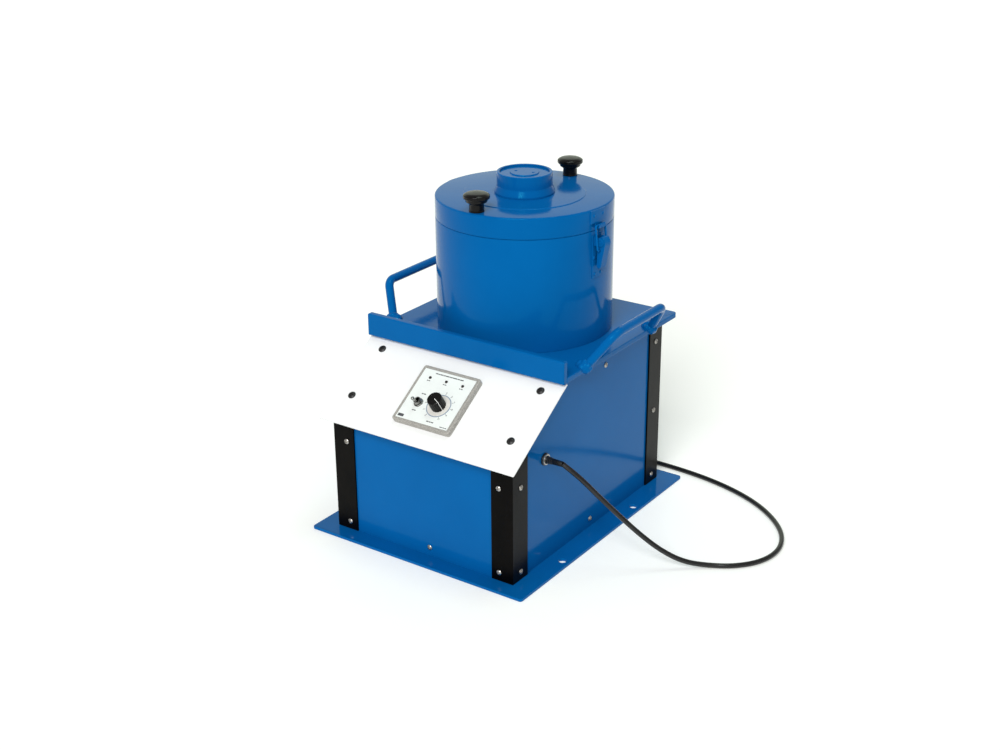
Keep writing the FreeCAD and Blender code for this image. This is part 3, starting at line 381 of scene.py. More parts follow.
chrome = finish_material(
    "chrome",
    ((0.34, 0.34, 0.33), (0.24, 0.24, 0.23)),
    patch=200.0,
    roughness=(0.12, 0.24),
    grain=1200.0,
    grain_bump=(0.04, 0.0001),
    Metallic=1.0,
)
lamp_lens = finish_material(
    "lamp_lens",
    ((0.012, 0.008, 0.008), (0.030, 0.010, 0.010)),
    patch=300.0,
    roughness=(0.10, 0.18),
    grain=900.0,
    grain_bump=(0.03, 0.0001),
    Transmission_Weight=0.25,
)
cord_rubber = finish_material(
    "cord_rubber",
    ((0.004, 0.004, 0.004), (0.008, 0.0075, 0.007)),
    patch=45.0,
    roughness=(0.20, 0.32),
    grain=1300.0,
    grain_bump=(0.16, 0.0001),
)
seal_rubber = finish_material(
    "seal_rubber",
    ((0.03, 0.03, 0.03), (0.05, 0.05, 0.048)),
    patch=60.0,
    roughness=(0.6, 0.8),
    grain=900.0,
    grain_bump=(0.2, 0.0002),
)
liner_rubber = finish_material(
    "liner_rubber",
    ((0.30, 0.085, 0.02), (0.22, 0.06, 0.015)),
    patch=25.0,
    roughness=(0.38, 0.55),
    grain=500.0,
    grain_bump=(0.2, 0.0003),
    wave=(60.0, 0.15, 0.001),
)
galvanised = finish_material(
    "galvanised",
    ((0.50, 0.51, 0.52), (0.38, 0.39, 0.40)),
    patch=70.0,
    roughness=(0.30, 0.52),
    grain=600.0,
    grain_bump=(0.12, 0.0002),
    Metallic=0.9,
)
spring_steel = finish_material(
    "spring_steel",
    ((0.20, 0.20, 0.21), (0.30, 0.29, 0.28)),
    patch=120.0,
    roughness=(0.25, 0.42),
    grain=900.0,
    grain_bump=(0.15, 0.0001),
    Metallic=1.0,
)
motor_paint = finish_material(
    "motor_paint",
    ((0.10, 0.11, 0.12), (0.075, 0.08, 0.085)),
    patch=25.0,
    roughness=(0.34, 0.5),
    grain=700.0,
    grain_bump=(0.25, 0.0003),
)
laminations = finish_material(
    "laminations",
    ((0.24, 0.22, 0.21), (0.12, 0.11, 0.10)),
    patch=40.0,
    roughness=(0.4, 0.6),
    grain=500.0,
    grain_bump=(0.4, 0.0003),
    stretch=(1.0, 1.0, 30.0),
    Metallic=0.8,
)
ground_steel = finish_material(
    "ground_steel",
    ((0.55, 0.55, 0.56), (0.45, 0.45, 0.46)),
    patch=90.0,
    roughness=(0.15, 0.3),
    grain=700.0,
    grain_bump=(0.1, 0.0001),
    stretch=(1.0, 1.0, 12.0),
    Metallic=1.0,
)

# ---- the cord, first, because its place is settled in the CAD ------------------------------

CORD_DIAMETER = 0.0085
FLOOR_LAY = 0.0043
cord_route = [
    (0.213, -0.138, 0.190),
    (0.238, -0.132, 0.174),
    (0.264, -0.110, 0.135),
    (0.292, -0.089, 0.098),
    (0.319, -0.070, 0.065),
    (0.346, -0.050, 0.036),
    (0.375, -0.026, 0.013),
    (0.408, 0.000, 0.0043),
    (0.445, 0.022, 0.0043),
    (0.474, 0.060, 0.0043),
    (0.482, 0.108, 0.0043),
    (0.466, 0.158, 0.0043),
    (0.430, 0.202, 0.0043),
    (0.378, 0.240, 0.0043),
    (0.315, 0.266, 0.0043),
    (0.245, 0.281, 0.0043),
    (0.168, 0.286, 0.0043),
    (0.092, 0.2845, 0.0043),
    (0.018, 0.2828, 0.0043),
]
tail_route = [
    (-0.034, 0.287, 0.0117),
    (-0.051, 0.286, 0.0122),
    (-0.068, 0.285, 0.0130),
]
COIL_CENTRE = Vector((-0.010, 0.335))
COIL_RADIUS = 0.048
COIL_STACK = 0.0074
COIL_TURNS = (
    (COIL_RADIUS + CORD_DIAMETER / 2, FLOOR_LAY),
    (COIL_RADIUS - CORD_DIAMETER / 2, FLOOR_LAY),
    (COIL_RADIUS, FLOOR_LAY + COIL_STACK),
)
COIL_STEPS = 16
COIL_CHANGE = 4


def coil_points():
    """Three clockwise turns from the coil's south: outer, inner, then one on top of both."""
    points = []
    for turn, (radius, height) in enumerate(COIL_TURNS):
        after = COIL_TURNS[min(turn + 1, len(COIL_TURNS) - 1)]
        for step in range(COIL_STEPS):
            share = max(0.0, (step - COIL_STEPS + COIL_CHANGE) / COIL_CHANGE)
            r = radius + (after[0] - radius) * share
            z = height + (after[1] - height) * share
            angle = -math.pi / 2 - 2 * math.pi * step / COIL_STEPS
            spot = COIL_CENTRE + r * Vector((math.cos(angle), math.sin(angle)))
            points.append((spot.x, spot.y, z))
    points.append((COIL_CENTRE.x, COIL_CENTRE.y - COIL_RADIUS, COIL_TURNS[-1][1]))
    return points


def make_cord():
    """The mains cord as one smooth curve: its route, its coil and its tail to the plug."""
    points = cord_route + coil_points() + tail_route
    curve = bpy.data.curves.new("mains_cord_curve", "CURVE")
    curve.dimensions = "3D"
    spline = curve.splines.new("NURBS")
    spline.points.add(len(points) - 1)
    for control, spot in zip(spline.points, points):
        control.co = (*spot, 1.0)
    spline.order_u = 3
    spline.use_endpoint_u = True
    spline.resolution_u = 10
    curve.bevel_depth = CORD_DIAMETER / 2
    curve.bevel_resolution = 6
    curve.use_fill_caps = True
    cord = bpy.data.objects.new("mains_cord_smooth", curve)
    bpy.context.scene.collection.objects.link(cord)
    curve.materials.append(cord_rubber)
    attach(cord, "cabinet")
    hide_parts("mains_cord", "cord_coil")
    return cord


cord = make_cord()

# ---- mesh helpers --------------------------------------------------------------------------

SMOOTH_BELOW = math.radians(32)
FLAT_BELOW = math.radians(0.5)
MERGE_WITHIN = 2e-6
ON_AXIS = 1e-6


def rounded(points, steps=4, closed=True):
    """Corner points (a, b, radius) as an outline whose corners are arcs of those radii."""
    out = []
    count = len(points)
    for i, (a, b, radius) in enumerate(points):
        here = Vector((a, b))
        if radius == 0 or (not closed and i in (0, count - 1)):
            out.append(here)
            continue
        back = Vector(points[i - 1][:2]) - here
        ahead = Vector(points[(i + 1) % count][:2]) - here
        half = back.angle(ahead) / 2
        reach = radius / math.tan(half)
        start = here + back.normalized() * reach
        end = here + ahead.normalized() * reach
        middle = here + (back.normalized() + ahead.normalized()).normalized() * (
            radius / math.sin(half)
        )
        first = start - middle
        sweep = first.angle_signed(end - middle)
        for k in range(steps + 1):
            turn = Matrix.Rotation(-sweep * k / steps, 2)
            out.append(middle + turn @ first)
    return out


def finish_piece(name, bm, material, body, turn=None):
    """A mesh as a named piece that rides on a body, smooth except over its sharp edges."""
    bmesh.ops.remove_doubles(bm, verts=bm.verts, dist=MERGE_WITHIN)
    bmesh.ops.recalc_face_normals(bm, faces=bm.faces)
    for face in bm.faces:
        face.smooth = True
    for edge in bm.edges:
        if len(edge.link_faces) == 2:
            edge.smooth = edge.calc_face_angle(0) < SMOOTH_BELOW
    mesh = bpy.data.meshes.new(name)
    bm.to_mesh(mesh)
    bm.free()
    if turn is not None:
        mesh.transform(turn)
    piece = bpy.data.objects.new(name, mesh)
    bpy.context.scene.collection.objects.link(piece)
    mesh.materials.append(material)
    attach(piece, body)
    return piece


def add_lathe(bm, outline, centre=Vector((0, 0, 0)), steps=96, closed=True):
    """Turn an outline of (radius, height) in millimetres about an upright axis."""
    rings = []
    for k in range(steps):
        angle = 2 * math.pi * k / steps
        across = Vector((math.cos(angle), math.sin(angle), 0))
        rings.append(
            [bm.verts.new((centre + across * p[0] + Z_AXIS * p[1]) * MM) for p in outline]
        )
    count = len(outline)
    for k in range(steps):
        here, there = rings[k], rings[(k + 1) % steps]
        for i in range(count if closed else count - 1):
            j = (i + 1) % count
            if outline[i][0] < ON_AXIS and outline[j][0] < ON_AXIS:
                continue
            face = [here[i], there[i], there[j], here[j]]
            if outline[i][0] < ON_AXIS:
                face.pop(1)
            elif outline[j][0] < ON_AXIS:
                face.pop(2)
            bm.faces.new(face)


def add_prism(bm, outline, low, high, turn=Matrix.Identity(4)):
    """Extrude an outline of (x, y) between two heights, in millimetres, and turn it."""
    bottom = [bm.verts.new(turn @ (Vector((p[0], p[1], low)) * MM)) for p in outline]
    top = [bm.verts.new(turn @ (Vector((p[0], p[1], high)) * MM)) for p in outline]
    bm.faces.new(bottom[::-1])
    bm.faces.new(top)
    for i in range(len(outline)):
        j = (i + 1) % len(outline)
        bm.faces.new([bottom[i], bottom[j], top[j], top[i]])


def add_tube(bm, path, radii, sides=20):
    """A round tube along points in millimetres, with a radius at each point."""
    path = [Vector(p) for p in path]
    along = [
        (path[min(i + 1, len(path) - 1)] - path[max(i - 1, 0)]).normalized()
        for i in range(len(path))
    ]
    side = along[0].orthogonal().normalized()
    rings = []
    for i, spot in enumerate(path):
        if i:
            side = (along[i - 1].rotation_difference(along[i]) @ side).normalized()
        other = along[i].cross(side)
        rings.append(
            [
                bm.verts.new(
                    (
                        spot
                        + side * radii[i] * math.cos(2 * math.pi * k / sides)
                        + other * radii[i] * math.sin(2 * math.pi * k / sides)
                    )
                    * MM
                )
                for k in range(sides)
            ]
        )
    for here, there in zip(rings, rings[1:]):
        for k in range(sides):
            n = (k + 1) % sides
            bm.faces.new([here[k], here[n], there[n], there[k]])
    bm.faces.new(rings[0][::-1])
    bm.faces.new(rings[-1])


def bent_path(points, bend, steps=8):
    """Points along straight runs joined by arcs of one bend radius, in millimetres."""
    points = [Vector(p) for p in points]
    out = [points[0]]
    for before, here, after in zip(points, points[1:], points[2:]):
        back = (before - here).normalized()
        ahead = (after - here).normalized()
        half = back.angle(ahead) / 2
        start = here + back * (bend / math.tan(half))
        centre = here + (back + ahead).normalized() * (bend / math.sin(half))
        axis = back.cross(ahead).normalized()
        for k in range(steps + 1):
            turn = Matrix.Rotation(-(math.pi - 2 * half) * k / steps, 3, axis)
            out.append(centre + turn @ (start - centre))
    out.append(points[-1])
    return out


def carry(node, material):
    """Give a CAD node that stays in view its material."""
    data = NODES[node].data
    data.materials.clear()
    data.materials.append(material)


def softened(node, material, width, segments=2, clamp=False):
    """A copy of a CAD node that stands for it, its sharp edges rounded over by a width."""
    bm = bmesh.new()
    bm.from_mesh(NODES[node].data)
    bmesh.ops.remove_doubles(bm, verts=bm.verts, dist=MERGE_WITHIN)
    if width > 0:
        bmesh.ops.dissolve_limit(bm, angle_limit=FLAT_BELOW, verts=bm.verts, edges=bm.edges)
    piece = finish_piece(node + "_piece", bm, material, body_of(NODES[node])[0])
    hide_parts(node)
    if width == 0:
        return piece
    for edge in piece.data.edges:
        edge.use_edge_sharp = False
    edges = piece.modifiers.new("edges", "BEVEL")
    edges.width = width * MM
    edges.segments = segments
    edges.limit_method = "ANGLE"
    edges.angle_limit = SMOOTH_BELOW
    edges.use_clamp_overlap = clamp
    edges.miter_outer = "MITER_ARC"
    shading = piece.modifiers.new("shading", "WEIGHTED_NORMAL")
    shading.weight = 100
    shading.keep_sharp = True
    return piece


def bending_springs():
    """The springs, whose feet stay on their seats while their tops follow the bowl."""
    node = "suspension_springs"
    mesh = NODES[node].data.copy()
    mesh.materials.clear()
    mesh.materials.append(spring_steel)
    piece = bpy.data.objects.new(node + "_piece", mesh)
    bpy.context.scene.collection.objects.link(piece)
    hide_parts(node)
    low, high = corners(node)
    start = Vector((0, 0, low.z)) * MM
    end = Vector((0, 0, high.z)) * MM
    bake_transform(piece, "cabinet", "bowl", start, end)


# ---- base, posts and sheets ----------------------------------------------------------------

softened("base_plate", enamel, 0.8)
for panel in ("front_panel", "left_panel", "right_panel", "rear_panel"):
    softened(panel, enamel, 0)
softened("control_panel", white_paint, 0)
for row in ("front", "rear"):
    for hand in ("left", "right"):
        softened(f"post_{row}_{hand}", black_paint, 0.7)
softened("deck_plate", enamel, 1.3, 3)
softened("deck_lip", enamel, 0.8, 3)
softened("cabinet_screws", zinc, 0.2)
softened("control_panel_screws", black_oxide, 0.3)

for node in (
    "base_rails",
    "upper_rails",
    "speed_drive_case",
    "vibrating_plate",
    "tumbling_bowl",
    "spring_seats",
    "motor_pillars",
):
    carry(node, galvanised)
for node in ("drum_bolts", "lid_knob_screws", "bowl_hold_down"):
    carry(node, zinc)
carry("lid_gasket", seal_rubber)
carry("bowl_liner", liner_rubber)
bending_springs()
carry("motor_housing", motor_paint)
carry("eccentric_weights", motor_paint)
carry("motor_stator", laminations)
carry("motor_bearings", ground_steel)
carry("motor_rotor", ground_steel)
carry("internal_wiring", cord_rubber)
carry("speed_potentiometer", phenolic)

# ---- drum, lid, neck and plug --------------------------------------------------------------

LATHE_STEPS = 192
DRUM_HOLE_RADIUS = 125.0
DRUM_FLOOR = 4.0
DRUM_RIM_DEPTH = 6.0
LID_HOLE_RADIUS = 36.0
LID_BEAD = (101.9, 103.0)
LID_SEAT = (519.0, 522.0)


def drum_and_lid():
    """The drum's shell and its lid, turned with rolled edges."""
    wall = DRUM_RADIUS - DRUM_WALL
    bm = bmesh.new()
    shell = rounded(
        [
            (DRUM_HOLE_RADIUS, drum_low.z, 0.6),
            (DRUM_RADIUS, drum_low.z, 0.8),
            (DRUM_RADIUS, drum_high.z, 0.9),
            (LID_SEAT_RADIUS, drum_high.z, 0.8),
            (LID_SEAT_RADIUS, drum_high.z - DRUM_RIM_DEPTH, 0),
            (wall, drum_high.z - DRUM_RIM_DEPTH, 0),
            (wall, drum_low.z + DRUM_FLOOR, 2.0),
            (DRUM_HOLE_RADIUS, drum_low.z + DRUM_FLOOR, 0.6),
        ]
    )
    add_lathe(bm, shell, DRUM_CENTRE, LATHE_STEPS)
    piece = finish_piece("drum_shell_piece", bm, enamel, "cabinet")
    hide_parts("drum_shell")
    bm = bmesh.new()
    under = LID_TOP - DRUM_WALL
    lid = rounded(
        [
            (LID_HOLE_RADIUS, under, 0),
            (LID_HOLE_RADIUS, LID_FACE, 0),
            (LID_BEAD[0], LID_FACE, 1.0),
            (LID_BEAD[1], LID_TOP, 0.9),
            (DRUM_RADIUS, LID_TOP, 3.0),
            (DRUM_RADIUS, lid_low.z, 0.9),
            (wall, lid_low.z, 0.6),
            (wall, LID_SEAT[0], 0),
            (LID_SEAT_RADIUS, LID_SEAT[0], 0.5),
            (LID_SEAT_RADIUS, LID_SEAT[1], 0.5),
            (wall, LID_SEAT[1], 0),
            (wall, under, 1.5),
        ],
        steps=6,
    )
    add_lathe(bm, lid, DRUM_CENTRE, LATHE_STEPS)
    piece = finish_piece("drum_lid_piece", bm, enamel, "lid")
    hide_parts("drum_lid")


NECK_RADIUS = 46.5
NECK_FOOT_RADIUS = 50.6
NECK_MOUTH_RADIUS = 41.5
NECK_BORE_RADIUS = 33.0
NECK_FOOT_HEIGHT = 3.0
NECK_FLARE_HEIGHT = 13.0
PLUG_LEDGE = 16.5


def neck_and_plug():
    """The filler neck with its flared foot, and the plug in its mouth."""
    rim = neck_high.z
    ledge = corners("filler_plug")[0].z + PLUG_LEDGE
    bm = bmesh.new()
    neck = rounded(
        [
            (NECK_BORE_RADIUS, LID_FACE, 0),
            (NECK_FOOT_RADIUS, LID_FACE, 0.5),
            (NECK_FOOT_RADIUS, LID_FACE + NECK_FOOT_HEIGHT, 1.2),
            (NECK_RADIUS, LID_FACE + NECK_FLARE_HEIGHT, 6.0),
            (NECK_RADIUS, rim, 1.6),
            (NECK_MOUTH_RADIUS, rim, 0.9),
            (NECK_MOUTH_RADIUS, ledge, 0.4),
            (NECK_BORE_RADIUS, ledge, 0.4),
        ],
        steps=6,
    )
    add_lathe(bm, neck, DRUM_CENTRE, 128)
    piece = finish_piece("filler_neck_piece", bm, enamel, "lid")
    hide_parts("filler_neck")
    softened("filler_plug", enamel, 0.6, 3)


drum_and_lid()
neck_and_plug()

# ---- lid knobs -----------------------------------------------------------------------------


def lid_knobs():
    """Two turned mushroom knobs with a stepped underside and a moulding line on the rim."""
    low, high = corners("lid_knobs")
    radius = 21.8
    foot = LID_TOP
    profile = rounded(
        [
            (4.0, foot, 0),
            (13.0, foot, 0.8),
            (12.2, foot + 3.0, 2.0),
            (12.0, foot + 13.0, 2.5),
            (17.6, foot + 16.6, 1.2),
            (18.5, foot + 21.0, 0.4),
            (21.0, foot + 21.6, 0.5),
            (radius, foot + 23.0, 0.4),
            (radius, foot + 24.4, 0.1),
            (radius - 0.3, foot + 24.7, 0.1),
            (radius, foot + 25.0, 0.1),
            (radius, foot + 27.4, 1.8),
            (17.0, foot + 30.6, 12.0),
            (0, high.z, 0),
            (0, foot + 18, 0),
            (4.0, foot + 18, 0),
        ],
        steps=5,
    )
    bm = bmesh.new()
    front = Vector((low.x + radius, low.y + radius, 0))
    rear = Vector((high.x - radius, high.y - radius, 0))
    for spot in (front, rear):
        add_lathe(bm, profile, spot, 72)
    piece = finish_piece("lid_knobs_piece", bm, phenolic, "lid")
    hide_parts("lid_knobs")


lid_knobs()

# ---- latches -------------------------------------------------------------------------------

for node in ("latch_bases", "latch_keepers"):
    softened(node, enamel, 0.35)
for hand in ("right", "left"):
    softened(f"latch_lever_{hand}", enamel, 0.5, 3)
    carry(f"latch_bail_{hand}", enamel)
for node in ("keeper_rivets", "latch_base_rivets", "latch_pivot_pins"):
    softened(node, enamel, 0.25)

# ---- carry handles -------------------------------------------------------------------------

HANDLE_RADIUS = 7.5
HANDLE_BEND = 22.0
HANDLE_FOOT_X = 196.0
HANDLE_FEET_Y = (-46.0, 164.0)
HANDLE_BAR_X = 231.0
HANDLE_BAR_Z = 375.0
HANDLE_TOPS_Y = (-13.0, 139.0)
WELD_LUMPS = (11.6, 9.2, 7.0)
WELD_RIPPLES = 8
WELD_RIPPLE_RADIUS = 4.9
WELD_RIPPLE_CIRCLE = 6.6
WELD_GRID = 0.0008


def weld_blob(bm, spot, radius, seed):
    """One lump of weld metal: a sphere with an uneven surface."""
    made = bmesh.ops.create_icosphere(bm, subdivisions=3, radius=radius * MM)
    for vertex in made["verts"]:
        direction = vertex.co.normalized()
        ripple = 1 + 0.07 * math.sin(9 * direction.x + seed) * math.cos(8 * direction.y - seed)
        vertex.co = vertex.co * ripple + spot * MM


def carry_handle(hand, side):
    """A bent rod, and the rippled welds that run round both its feet and over the deck's edge."""
    node = f"carry_handle_{hand}"
    feet = [Vector((side * HANDLE_FOOT_X, y, deck_high.z)) for y in HANDLE_FEET_Y]
    tops = [Vector((side * HANDLE_BAR_X, y, HANDLE_BAR_Z)) for y in HANDLE_TOPS_Y]
    path = bent_path([feet[0], tops[0], tops[1], feet[1]], HANDLE_BEND, 16)
    bm = bmesh.new()
    add_tube(bm, path, [HANDLE_RADIUS] * len(path), 32)
    piece = finish_piece(node + "_piece", bm, enamel, "cabinet")
    bm = bmesh.new()
    for foot, top in zip(feet, tops):
        lean = (top - foot).normalized()
        seed = 0.7 * foot.y
        weld_blob(bm, foot - lean * 1.5, WELD_LUMPS[0], seed)
        weld_blob(bm, foot - Vector((side * 8.5, 0, -0.5)), WELD_LUMPS[1], seed + 1.0)
        weld_blob(bm, foot - Vector((side * 3.0, 7.0, 0)), WELD_LUMPS[2], seed + 2.0)
        for k in range(WELD_RIPPLES):
            angle = 2 * math.pi * k / WELD_RIPPLES + seed
            out = Matrix.Rotation(angle, 3, lean) @ lean.orthogonal().normalized()
            height = 3.5 + 1.4 * math.sin(3 * angle + seed)
            spot = foot + out * WELD_RIPPLE_CIRCLE + lean * height
            weld_blob(bm, spot, WELD_RIPPLE_RADIUS, angle)
    welds = finish_piece(node + "_welds", bm, enamel, "cabinet")
    skin = welds.modifiers.new("skin", "REMESH")
    skin.mode = "VOXEL"
    skin.voxel_size = WELD_GRID
    skin.use_smooth_shade = True
    relax = welds.modifiers.new("relax", "SMOOTH")
    relax.factor = 0.5
    relax.iterations = 4
    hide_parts(node)
    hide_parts(node)


carry_handle("left", -1)
carry_handle("right", 1)

# ---- speed drive ---------------------------------------------------------------------------

softened("speed_drive_bezel", grey_casting, 0.8, 3)
softened("speed_drive_faceplate", label_stock, 0.2)
softened("indicator_lamps", lamp_lens, 0.15)

knob_low, knob_high = local_corners("speed_knob", PANEL)
DIAL = Vector(((knob_low.x + knob_high.x) / 2, (knob_low.y + knob_high.y) / 2, 0))
toggle_low, toggle_high = local_corners("toggle_switch_body", PANEL)
TOGGLE = Vector(((toggle_low.x + toggle_high.x) / 2, (toggle_low.y + toggle_high.y) / 2, 0))
lamp_low, lamp_high = local_corners("indicator_lamps", PANEL)
FACE = local_corners("speed_drive_faceplate", PANEL)[1].z
INK = 0.12
DIAL_START = math.radians(240)
DIAL_SWEEP = math.radians(300)
DIAL_TICKS = 11
DIGIT_CIRCLE = 26.4
DIGIT_HEIGHT = 4.2
TICK_CIRCLE = 23.8
RING_RADIUS = 20.2
LINE_RADIUS = 21.7
RING_HEIGHT = 0.5
LINE_HEIGHT = 0.3


def bar(centre_x, centre_y, width, height, turn=0.0):
    """A small rectangle's corners about a centre, turned in its plane."""
    spin = Matrix.Rotation(turn, 2)
    sides = ((-width, -height), (width, -height), (width, height), (-width, height))
    centre = Vector((centre_x, centre_y))
    return [centre + spin @ Vector((a / 2, b / 2)) for a, b in sides]


def dash_row(bm, x, y, widths, height):
    """A row of short dashes, centred on x, in place of a printed line."""
    gap = 0.9
    start = x - (sum(widths) + gap * (len(widths) - 1)) / 2
    for width in widths:
        add_prism(bm, bar(start + width / 2, y, width, height), FACE, FACE + INK)
        start += width + gap


def dial_digits(bm):
    """The numbers 0 to 10 around the dial, from Blender's own font."""
    for k in range(DIAL_TICKS):
        angle = DIAL_START - DIAL_SWEEP * k / (DIAL_TICKS - 1)
        text = bpy.data.curves.new("digit", "FONT")
        text.body = str(k)
        text.size = DIGIT_HEIGHT * MM
        text.extrude = INK / 2 * MM
        text.align_x = "CENTER"
        text.align_y = "CENTER"
        holder = bpy.data.objects.new("digit", text)
        mesh = bpy.data.meshes.new_from_object(holder)
        spot = DIAL + DIGIT_CIRCLE * Vector((math.cos(angle), math.sin(angle), 0))
        spot.z = FACE + INK / 2
        mesh.transform(Matrix.Translation(spot * MM))
        bm.from_mesh(mesh)
        bpy.data.meshes.remove(mesh)
        bpy.data.objects.remove(holder)
        bpy.data.curves.remove(text)


def faceplate_marks():
    """Printed ticks and digits round the dial, and plain dashes where labels would be."""
    bm = bmesh.new()
    for k in range(DIAL_TICKS):
        angle = DIAL_START - DIAL_SWEEP * k / (DIAL_TICKS - 1)
        spot = DIAL + TICK_CIRCLE * Vector((math.cos(angle), math.sin(angle), 0))
        add_prism(bm, bar(spot.x, spot.y, 2.0, 0.8, angle), FACE, FACE + INK)
    dial_digits(bm)
    dash_row(bm, 0.6, 132.8, (4.5, 2.5, 6.0, 3.5, 7.0, 5.0, 9.0, 4.0, 6.5), 1.9)
    lamps = (lamp_low.x + 2.5, (lamp_low.x + lamp_high.x) / 2, lamp_high.x - 2.5)
    for x in lamps:
        dash_row(bm, x, 116.6, (2.4, 3.4), 1.5)
    dash_row(bm, TOGGLE.x, 90.5, (3.0, 4.4), 1.8)
    dash_row(bm, TOGGLE.x, 57.5, (3.4, 3.0), 1.8)
    dash_row(bm, DIAL.x + 1.5, 44.6, (4.4, 3.4, 4.0), 1.9)
    dash_row(bm, 42.5, 41.0, (5.0, 3.0, 3.6), 1.4)
    plate = [(-49.0, 40.4, 1.0), (-37.6, 40.4, 1.0), (-37.6, 45.6, 1.0), (-49.0, 45.6, 1.0)]
    add_prism(bm, rounded(plate), FACE, FACE + INK)
    finish_piece("faceplate_marks", bm, label_ink, "cabinet", PANEL)


def dial_ring():
    """The pale disc that the knob's pointer sweeps over, with its thin outline."""
    bm = bmesh.new()
    hub = 8.0
    top = FACE + RING_HEIGHT
    profile = [(hub, FACE, 0), (RING_RADIUS, FACE, 0), (RING_RADIUS, top, 0.2), (hub, top, 0.2)]
    add_lathe(bm, rounded(profile), DIAL, 96)
    finish_piece("dial_ring", bm, dial_pale, "cabinet", PANEL)
    bm = bmesh.new()
    top = FACE + LINE_HEIGHT
    line = [(RING_RADIUS, FACE), (LINE_RADIUS, FACE), (LINE_RADIUS, top), (RING_RADIUS, top)]
    add_lathe(bm, line, DIAL, 96)
    finish_piece("dial_ring_line", bm, dial_line, "cabinet", PANEL)


KNOB_FLUTES = 18
KNOB_POINTS_TO = math.radians(-27)


def speed_knob():
    """A fluted knob with a skirt, and the white line that points on its top and side."""
    foot = knob_low.z
    top = knob_high.z
    bm = bmesh.new()
    steps = KNOB_FLUTES * 8
    levels = [
        (14.2, foot, 0.0),
        (14.2, foot + 1.5, 0.0),
        (13.3, foot + 3.2, 0.25),
        (13.0, foot + 5.0, 1.0),
        (12.7, top - 1.6, 1.0),
        (12.3, top - 0.6, 0.6),
        (11.4, top, 0.0),
        (9.6, top, 0.0),
        (9.3, top - 0.4, 0.0),
    ]
    rings = []
    for radius, z, depth in levels:
        ring = []
        for k in range(steps):
            angle = 2 * math.pi * k / steps
            groove = 0.55 * depth * max(0.0, -math.cos(KNOB_FLUTES * angle)) ** 1.5
            r = radius - groove
            ring.append(
                bm.verts.new((DIAL + Vector((r * math.cos(angle), r * math.sin(angle), z))) * MM)
            )
        rings.append(ring)
    for here, there in zip(rings, rings[1:]):
        for k in range(steps):
            n = (k + 1) % steps
            bm.faces.new([here[k], here[n], there[n], there[k]])
    bm.faces.new(rings[0][::-1])
    bm.faces.new(rings[-1])
    piece = finish_piece("speed_knob_piece", bm, phenolic, "speed_knob", PANEL)
    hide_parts("speed_knob")
    bm = bmesh.new()
    spin = Matrix.Translation(DIAL * MM) @ Matrix.Rotation(KNOB_POINTS_TO, 4, "Z")
    half = 0.45
    across = [(1.0, -half), (12.3, -half), (12.3, half), (1.0, half)]
    add_prism(bm, across, top - 0.5, top + 0.08, spin)
    down = [(12.0, -half), (13.25, -half), (13.25, half), (12.0, half)]
    add_prism(bm, down, foot + 3.0, top - 0.5, spin)
    finish_piece("speed_knob_pointer", bm, white_line, "speed_knob", PANEL)


THREAD_PITCH = 0.75
THREAD_START = 12.6
THREAD_END = 17.2


def toggle_switch():
    """The switch's body and nut from the CAD, with a threaded bushing and a face washer."""
    softened("toggle_switch_body", chrome, 0.25)
    softened("toggle_lever", chrome, 0.1)
    bm = bmesh.new()
    washer = rounded([(6.2, FACE, 0), (8.4, FACE, 0), (8.4, FACE + 0.5, 0.2), (6.2, FACE + 0.5, 0)])
    add_lathe(bm, washer, TOGGLE, 48)
    outline = [(5.0, THREAD_START)]
    z = THREAD_START
    while z < THREAD_END:
        outline += [(5.95, z), (6.25, z + THREAD_PITCH / 2)]
        z += THREAD_PITCH
    outline += [(5.95, z), (5.0, z)]
    add_lathe(bm, outline, TOGGLE, 48)
    finish_piece("toggle_thread_and_washer", bm, chrome, "cabinet", PANEL)


faceplate_marks()
dial_ring()
speed_knob()
toggle_switch()

# ---- gland and plug ------------------------------------------------------------------------

GLAND_RIBS = 3
GLAND_RIB_PITCH = 3.2
GLAND_NUT_HALF = 10.32


